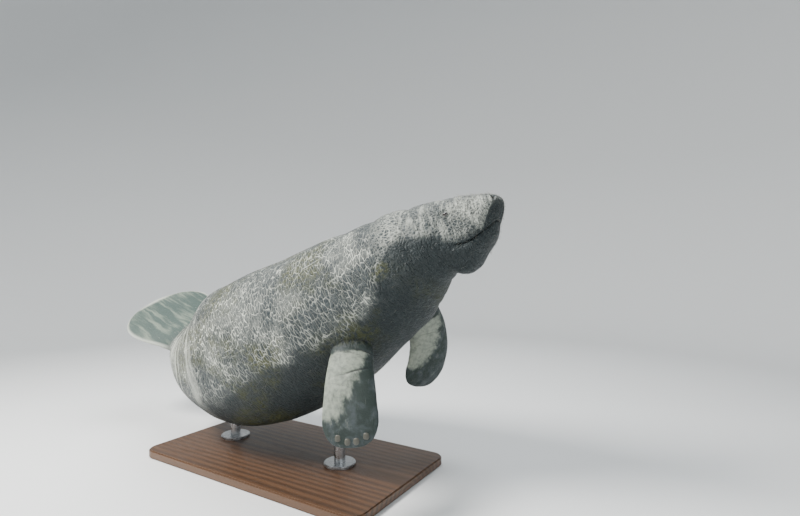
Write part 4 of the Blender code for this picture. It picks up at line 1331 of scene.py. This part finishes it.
def grow_bristles(name, where, plan, sides, lengths, finish):
    """A plain mesh of bristles, with each one's patch at its root's place on the hide's own unwrap."""
    tree, sockets = bristle_nodes(name, where, plan, sides, lengths, finish)
    bed = bpy.data.objects.new(name + "_bed", hide.data)
    growth = bed.modifiers.new("growth", "NODES")
    growth.node_group = tree
    for label, value in plan.items():
        growth[sockets[label]] = value
    bpy.context.scene.collection.objects.link(bed)
    bpy.context.view_layer.update()
    graph = bpy.context.evaluated_depsgraph_get()
    ready = bed.evaluated_get(graph)
    grown = bpy.data.meshes.new_from_object(ready, preserve_all_data_layers=True, depsgraph=graph)
    bed.modifiers.clear()
    bpy.data.objects.remove(bed)
    tables = []
    for label in ("unwrap", "patch"):
        values = np.zeros(len(grown.vertices) * 3)
        grown.attributes[label].data.foreach_get("vector", values)
        tables.append(values.reshape(-1, 3)[:, :2])
    spots = np.clip(tables[0] + (tables[1] - 0.5) * TUFT_PATCH, 0, 1)
    corners = np.zeros(len(grown.loops), dtype=np.int32)
    grown.loops.foreach_get("vertex_index", corners)
    layer = grown.uv_layers.new(name="OFBake")
    layer.data.foreach_set("uv", spots[corners].astype(np.float32).ravel())
    grown.shade_smooth()
    coat = bpy.data.objects.new(name, grown)
    bpy.context.scene.collection.objects.link(coat)
    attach(coat, "root")


bristle_finish = make_bristle_finish("bristle horn", 0.40)
grow_bristles("muzzle_bristles", "bristly", MUZZLE_BRISTLES, 5, 4, bristle_finish)
hair_finish = make_bristle_finish("fine hair", 0.50)
grow_bristles("body_hairs", "hairy", BODY_HAIRS, 4, 3, hair_finish)

# The eyes: small dark balls with a low clear cornea, a round pupil and a dark brown iris. They sit in
# the lids' openings and turn outwards.
EYE_RINGS = 28
EYE_SIDES = 40
PUPIL_EDGE = 0.085
IRIS_EDGE = 0.21
PUPIL = (0.002, 0.002, 0.002)
IRIS_DARK = (0.010, 0.008, 0.007)
IRIS_BROWN = (0.028, 0.021, 0.015)
WHITE_INNER = (0.008, 0.007, 0.006)
WHITE_OUTER = (0.030, 0.026, 0.023)
CORNEA_RISE = 0.0007
CORNEA_REACH = 0.62


def make_eye_finish():
    made, tree, shader = new_finish("wet eye", 0.12)
    gaze = fact(tree, "gaze").outputs["Fac"]
    fibres = cloud(tree, stretch(tree, fact(tree, "round").outputs["Vector"], (14.0, 1.0, 1.0)), 4.0, 3.0)
    iris = blend(tree, fibres, IRIS_DARK, IRIS_BROWN)
    outer = between(tree, gaze, IRIS_EDGE, IRIS_EDGE + 0.10)
    white = blend(tree, outer, WHITE_INNER, WHITE_OUTER)
    colour = blend(tree, between(tree, gaze, PUPIL_EDGE - 0.008, PUPIL_EDGE + 0.008), PUPIL, iris)
    colour = blend(tree, between(tree, gaze, IRIS_EDGE - 0.02, IRIS_EDGE + 0.01), colour, white)
    tree.links.new(colour, shader.inputs["Base Color"])
    shader.inputs["Coat Weight"].default_value = 1.0
    shader.inputs["Coat Roughness"].default_value = 0.03
    return made


def make_eye(side, finish):
    """An eyeball turned along the head's outward direction, its cornea a little proud."""
    spot, ahead, up, out = skin_frame(side, EYE_DISTANCE, EYE_ANGLE)
    centre = spot - out * EYE_SINK
    shape = bmesh.new()
    gaze_layer = shape.verts.layers.float.new("gaze")
    round_layer = shape.verts.layers.float_vector.new("round")
    rows = []
    for polar in np.linspace(0, math.pi, EYE_RINGS + 2)[1:-1]:
        radius = EYE_RADIUS + CORNEA_RISE * math.exp(-((polar / CORNEA_REACH) ** 2))
        row = []
        for turn in np.linspace(0, 2 * math.pi, EYE_SIDES, endpoint=False):
            beside = ahead * math.cos(turn) + up * math.sin(turn)
            vertex = shape.verts.new(centre + radius * (out * math.cos(polar) + beside * math.sin(polar)))
            vertex[gaze_layer] = polar / math.pi
            vertex[round_layer] = (math.cos(turn), math.sin(turn), polar)
            row.append(vertex)
        rows.append(row)
    front = shape.verts.new(centre + out * (EYE_RADIUS + CORNEA_RISE))
    back = shape.verts.new(centre - out * EYE_RADIUS)
    back[gaze_layer] = 1.0
    for i in range(EYE_SIDES):
        j = (i + 1) % EYE_SIDES
        shape.faces.new((front, rows[0][i], rows[0][j]))
        shape.faces.new((back, rows[-1][j], rows[-1][i]))
        for row, following in zip(rows, rows[1:]):
            shape.faces.new((row[i], following[i], following[j], row[j]))
    bmesh.ops.recalc_face_normals(shape, faces=shape.faces)
    eye = as_object("eyeball_" + side, shape)
    eye.data.shade_smooth()
    eye.data.materials.append(finish)
    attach(eye, "root")
    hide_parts("eye_" + side)


eye_finish = make_eye_finish()
for side in FLIPPERS:
    make_eye(side, eye_finish)

# The nails: four flat horny plates on the back of each flipper's end, worn and ridged lengthwise. Each
# grows out of the hide at its inner end.
NAIL_PLACES = [(0.905, 0.64), (0.945, 0.28), (0.947, -0.14), (0.915, -0.52)]
NAIL_SIZE = (0.0112, 0.0125, 0.0040)
# How far the nail's outline is squared, how it bends, tilts and drops at the sides, and its ridges.
NAIL_FLATNESS = 0.6
NAIL_SQUARE = 0.8
NAIL_THINNING = 0.25
NAIL_TILT = 0.18
NAIL_DROP = 0.20
NAIL_RIDGES = 16
NAIL_RIDGE_HEIGHT = 0.05
NAIL_DARK = (0.040, 0.040, 0.032)
NAIL_PALE = (0.10, 0.097, 0.078)
NAIL_STAIN = (0.060, 0.052, 0.036)
NAIL_RINGS = 14
NAIL_SIDES = 28


def make_nail_finish():
    made, tree, shader = new_finish("worn nail", 0.38)
    place = fact(tree, "plate").outputs["Vector"]
    ridges = cloud(tree, stretch(tree, place, (9.0, 0.8, 1.0)), 1.0, 3.0, 0.6)
    stain = cloud(tree, place, 2.2, 3.0)
    colour = blend(tree, ridges, NAIL_DARK, NAIL_PALE)
    colour = blend(tree, between(tree, stain, 0.5, 0.7, 0.0, 0.6), colour, NAIL_STAIN)
    tree.links.new(colour, shader.inputs["Base Color"])
    tree.links.new(raise_by(tree, ridges, 0.0006), shader.inputs["Normal"])
    return made


def make_nail(side, number, finish):
    share, chord_share = NAIL_PLACES[number]
    outer = FLIPPERS[side]["outer"]
    angle = np.array(outer * math.acos(chord_share))
    spot = flipper_skin(side, np.array(share), angle)
    out = flipper_outward(side, np.array(share), angle)
    _, way, _, _ = flipper_frame(side, np.array(share))
    way = unit(way - out * (way @ out))
    beside = np.cross(out, way)
    shape = bmesh.new()
    plate = shape.verts.layers.float_vector.new("plate")
    rows = []
    for polar in np.linspace(0, math.pi, NAIL_RINGS + 2)[1:-1]:
        row = []
        for turn in np.linspace(0, 2 * math.pi, NAIL_SIDES, endpoint=False):
            flat = math.sin(polar) ** NAIL_FLATNESS
            across = math.copysign(abs(math.cos(turn)) ** NAIL_SQUARE, math.cos(turn)) * flat
            lengthwise = math.copysign(abs(math.sin(turn)) ** NAIL_SQUARE, math.sin(turn)) * flat
            high = math.cos(polar) * (1 - NAIL_THINNING * across**2)
            high = high + NAIL_TILT * lengthwise - NAIL_DROP * across**2
            high += NAIL_RIDGE_HEIGHT * math.cos(across * NAIL_RIDGES) * (math.cos(polar) > 0)
            flat_place = spot + beside * NAIL_SIZE[0] * across + way * NAIL_SIZE[1] * lengthwise
            vertex = shape.verts.new(flat_place + out * NAIL_SIZE[2] * high)
            vertex[plate] = (across, lengthwise, number)
            row.append(vertex)
        rows.append(row)
    for row, following in zip(rows, rows[1:]):
        for i in range(NAIL_SIDES):
            j = (i + 1) % NAIL_SIDES
            shape.faces.new((row[i], following[i], following[j], row[j]))
    shape.faces.new(rows[0])
    shape.faces.new(rows[-1])
    bmesh.ops.recalc_face_normals(shape, faces=shape.faces)
    name = f"{side}_{number + 1}"
    nail = as_object("nail_plate_" + name, shape)
    nail.data.shade_smooth()
    nail.data.materials.append(finish)
    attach(nail, "root")
    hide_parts("nail_" + name)


nail_finish = make_nail_finish()
for side in FLIPPERS:
    for number in range(len(NAIL_PLACES)):
        make_nail(side, number, nail_finish)

# The stand's base: one broad board of dark oiled hardwood with softened edges. Its rings of growth run
# lengthwise and come out as arcs on the ends.
WOOD_DARK = (0.030, 0.015, 0.008)
WOOD_WARM = (0.125, 0.062, 0.030)


def make_wood_finish():
    made, tree, shader = new_finish("oiled dark hardwood", 0.42)
    place = tree.nodes.new("ShaderNodeTexCoord").outputs["Object"]
    log = wander(tree, stretch(tree, place, (0.16, 1.0, 1.6)), 2.2, 0.10)
    rings = tree.nodes.new("ShaderNodeTexWave")
    rings.wave_type = "RINGS"
    rings.rings_direction = "X"
    feed(tree, rings.inputs["Vector"], log)
    rings.inputs["Scale"].default_value = 9.0
    rings.inputs["Distortion"].default_value = 2.5
    rings.inputs["Detail"].default_value = 3.0
    pores = cloud(tree, stretch(tree, place, (14.0, 420.0, 420.0)), 1.0, 3.0, 0.6)
    figure = calc(tree, "ADD", times(tree, rings.outputs["Fac"], 0.55), times(tree, pores, 0.45))
    colour = blend(tree, figure, WOOD_DARK, WOOD_WARM)
    colour = blend(tree, between(tree, pores, 0.60, 0.72, 0.0, 0.6), colour, WOOD_DARK)
    tree.links.new(colour, shader.inputs["Base Color"])
    tree.links.new(between(tree, pores, 0.3, 0.7, 0.34, 0.50), shader.inputs["Roughness"])
    tree.links.new(raise_by(tree, pores, 0.0004), shader.inputs["Normal"])
    return made


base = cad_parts["stand_base"]
base.data.materials.clear()
base.data.materials.append(make_wood_finish())

# The stand's metal: two turned steel rods up to the belly, each in a round foot. The brushing runs
# round them, and smudges make the shine a little uneven.
STEEL = (0.52, 0.53, 0.54)
STEEL_DULL = (0.36, 0.37, 0.385)


def make_steel_finish():
    made, tree, shader = new_finish("brushed steel", 0.30, 1.0)
    place = tree.nodes.new("ShaderNodeTexCoord").outputs["Object"]
    brushing = cloud(tree, stretch(tree, place, (3.0, 3.0, 900.0)), 1.0, 2.0, 0.6)
    smudge = cloud(tree, place, 18.0, 3.0)
    tree.links.new(blend(tree, brushing, STEEL_DULL, STEEL), shader.inputs["Base Color"])
    rough = calc(tree, "ADD", times(tree, brushing, 0.18), times(tree, smudge, 0.22))
    tree.links.new(calc(tree, "ADD", rough, 0.08), shader.inputs["Roughness"])
    tree.links.new(raise_by(tree, brushing, 0.00012), shader.inputs["Normal"])
    return made


steel_finish = make_steel_finish()
for node in ("stand_rod_front", "stand_rod_rear", "stand_foot_front", "stand_foot_rear"):
    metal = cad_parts[node]
    metal.data.materials.clear()
    metal.data.materials.append(steel_finish)

# The studio: a plain pale floor that curves up into a wall all round, a wide soft light from above, a
# smaller and stronger one high on the left, as the daylight falls in the photo, and a weak one on the right.
FLOOR_FLAT = 4.5
WALL_RADIUS = 8.5
WALL_HEIGHT = 10.0
FLOOR_COLOUR = (0.80, 0.81, 0.81)
FLOOR_CURVE_STEPS = 24
FLOOR_ROUND_STEPS = 96
FLOOR_JOIN = 0.0001
# Each light: place, what it points at, width, power and colour.
LIGHTS = {
    "key light": ((-1.3, -2.3, 3.6), (0.1, 0.0, 0.7), 1.6, 400, (1.0, 0.985, 0.95)),
    "top light": ((0.2, 0.9, 4.2), (0.1, 0.0, 0.6), 3.0, 120, (0.95, 0.98, 1.0)),
    "fill light": ((3.6, -1.6, 1.8), (0.3, 0.0, 0.7), 2.5, 24, (0.90, 0.97, 1.0)),
}
AIR_COLOUR = (0.86, 0.93, 1.0, 1.0)
AIR_STRENGTH = 0.40


def make_floor():
    profile = [(0.0, 0.0), (FLOOR_FLAT, 0.0)]
    for turn in np.linspace(0, math.pi / 2, FLOOR_CURVE_STEPS + 1)[1:]:
        out = FLOOR_FLAT + (WALL_RADIUS - FLOOR_FLAT) * math.sin(turn)
        profile.append((out, WALL_HEIGHT * (1 - math.cos(turn))))
    shape = bmesh.new()
    line = [shape.verts.new((radius, 0, height)) for radius, height in profile]
    edges = [shape.edges.new(pair) for pair in zip(line, line[1:])]
    turned = {"axis": (0, 0, 1), "cent": (0, 0, 0), "angle": 2 * math.pi, "steps": FLOOR_ROUND_STEPS}
    bmesh.ops.spin(shape, geom=line + edges, use_duplicate=False, **turned)
    bmesh.ops.remove_doubles(shape, verts=shape.verts, dist=FLOOR_JOIN)
    bmesh.ops.recalc_face_normals(shape, faces=shape.faces)
    floor = as_object("floor", shape)
    floor.data.shade_smooth()
    made, _, shader = new_finish("pale floor", 0.75)
    shader.inputs["Base Color"].default_value = (*FLOOR_COLOUR, 1.0)
    floor.data.materials.append(made)


def make_light(name, place, target, size, power, colour):
    lamp = bpy.data.lights.new(name, "AREA")
    lamp.shape = "DISK"
    lamp.size = size
    lamp.energy = power
    lamp.color = colour
    made = bpy.data.objects.new(name, lamp)
    bpy.context.scene.collection.objects.link(made)
    made.location = place
    made.rotation_euler = (Vector(target) - Vector(place)).to_track_quat("-Z", "Y").to_euler()


make_floor()
for name, plan in LIGHTS.items():
    make_light(name, *plan)
world = bpy.data.worlds.new("studio air")
bpy.context.scene.world = world
world.use_nodes = True
air = world.node_tree.nodes["Background"]
air.inputs["Color"].default_value = AIR_COLOUR
air.inputs["Strength"].default_value = AIR_STRENGTH

# The camera stands at the animal's right front, about level with its shoulders, close and wide as in
# the photo. It is placed by where the snout lies in the photo and how far away that is.
CAMERA_AZIMUTH = 31.7
CAMERA_FOCAL_PIXELS = 507.3
PHOTO_SIZE = (800, 516)
SNOUT_PIXEL = (502.4, 204.0)
SNOUT_DEPTH = 1.968
SENSOR_WIDTH = 36.0
NEAREST_SEEN = 0.05

turn = math.radians(CAMERA_AZIMUTH)
look = Vector((-math.sin(turn), math.cos(turn), 0))
right = Vector((math.cos(turn), math.sin(turn), 0))
lens = bpy.data.cameras.new("camera")
camera = bpy.data.objects.new("camera", lens)
bpy.context.scene.collection.objects.link(camera)
lens.sensor_width = SENSOR_WIDTH
lens.lens = CAMERA_FOCAL_PIXELS / PHOTO_SIZE[0] * lens.sensor_width
lens.clip_start = NEAREST_SEEN
across = (SNOUT_PIXEL[0] - PHOTO_SIZE[0] / 2) / CAMERA_FOCAL_PIXELS * SNOUT_DEPTH
below = (PHOTO_SIZE[1] / 2 - SNOUT_PIXEL[1]) / CAMERA_FOCAL_PIXELS * SNOUT_DEPTH
camera.location = Vector(SNOUT_PLACE) - look * SNOUT_DEPTH - right * across - Vector((0, 0, below))
camera.rotation_euler = look.to_track_quat("-Z", "Y").to_euler()
bpy.context.scene.camera = camera
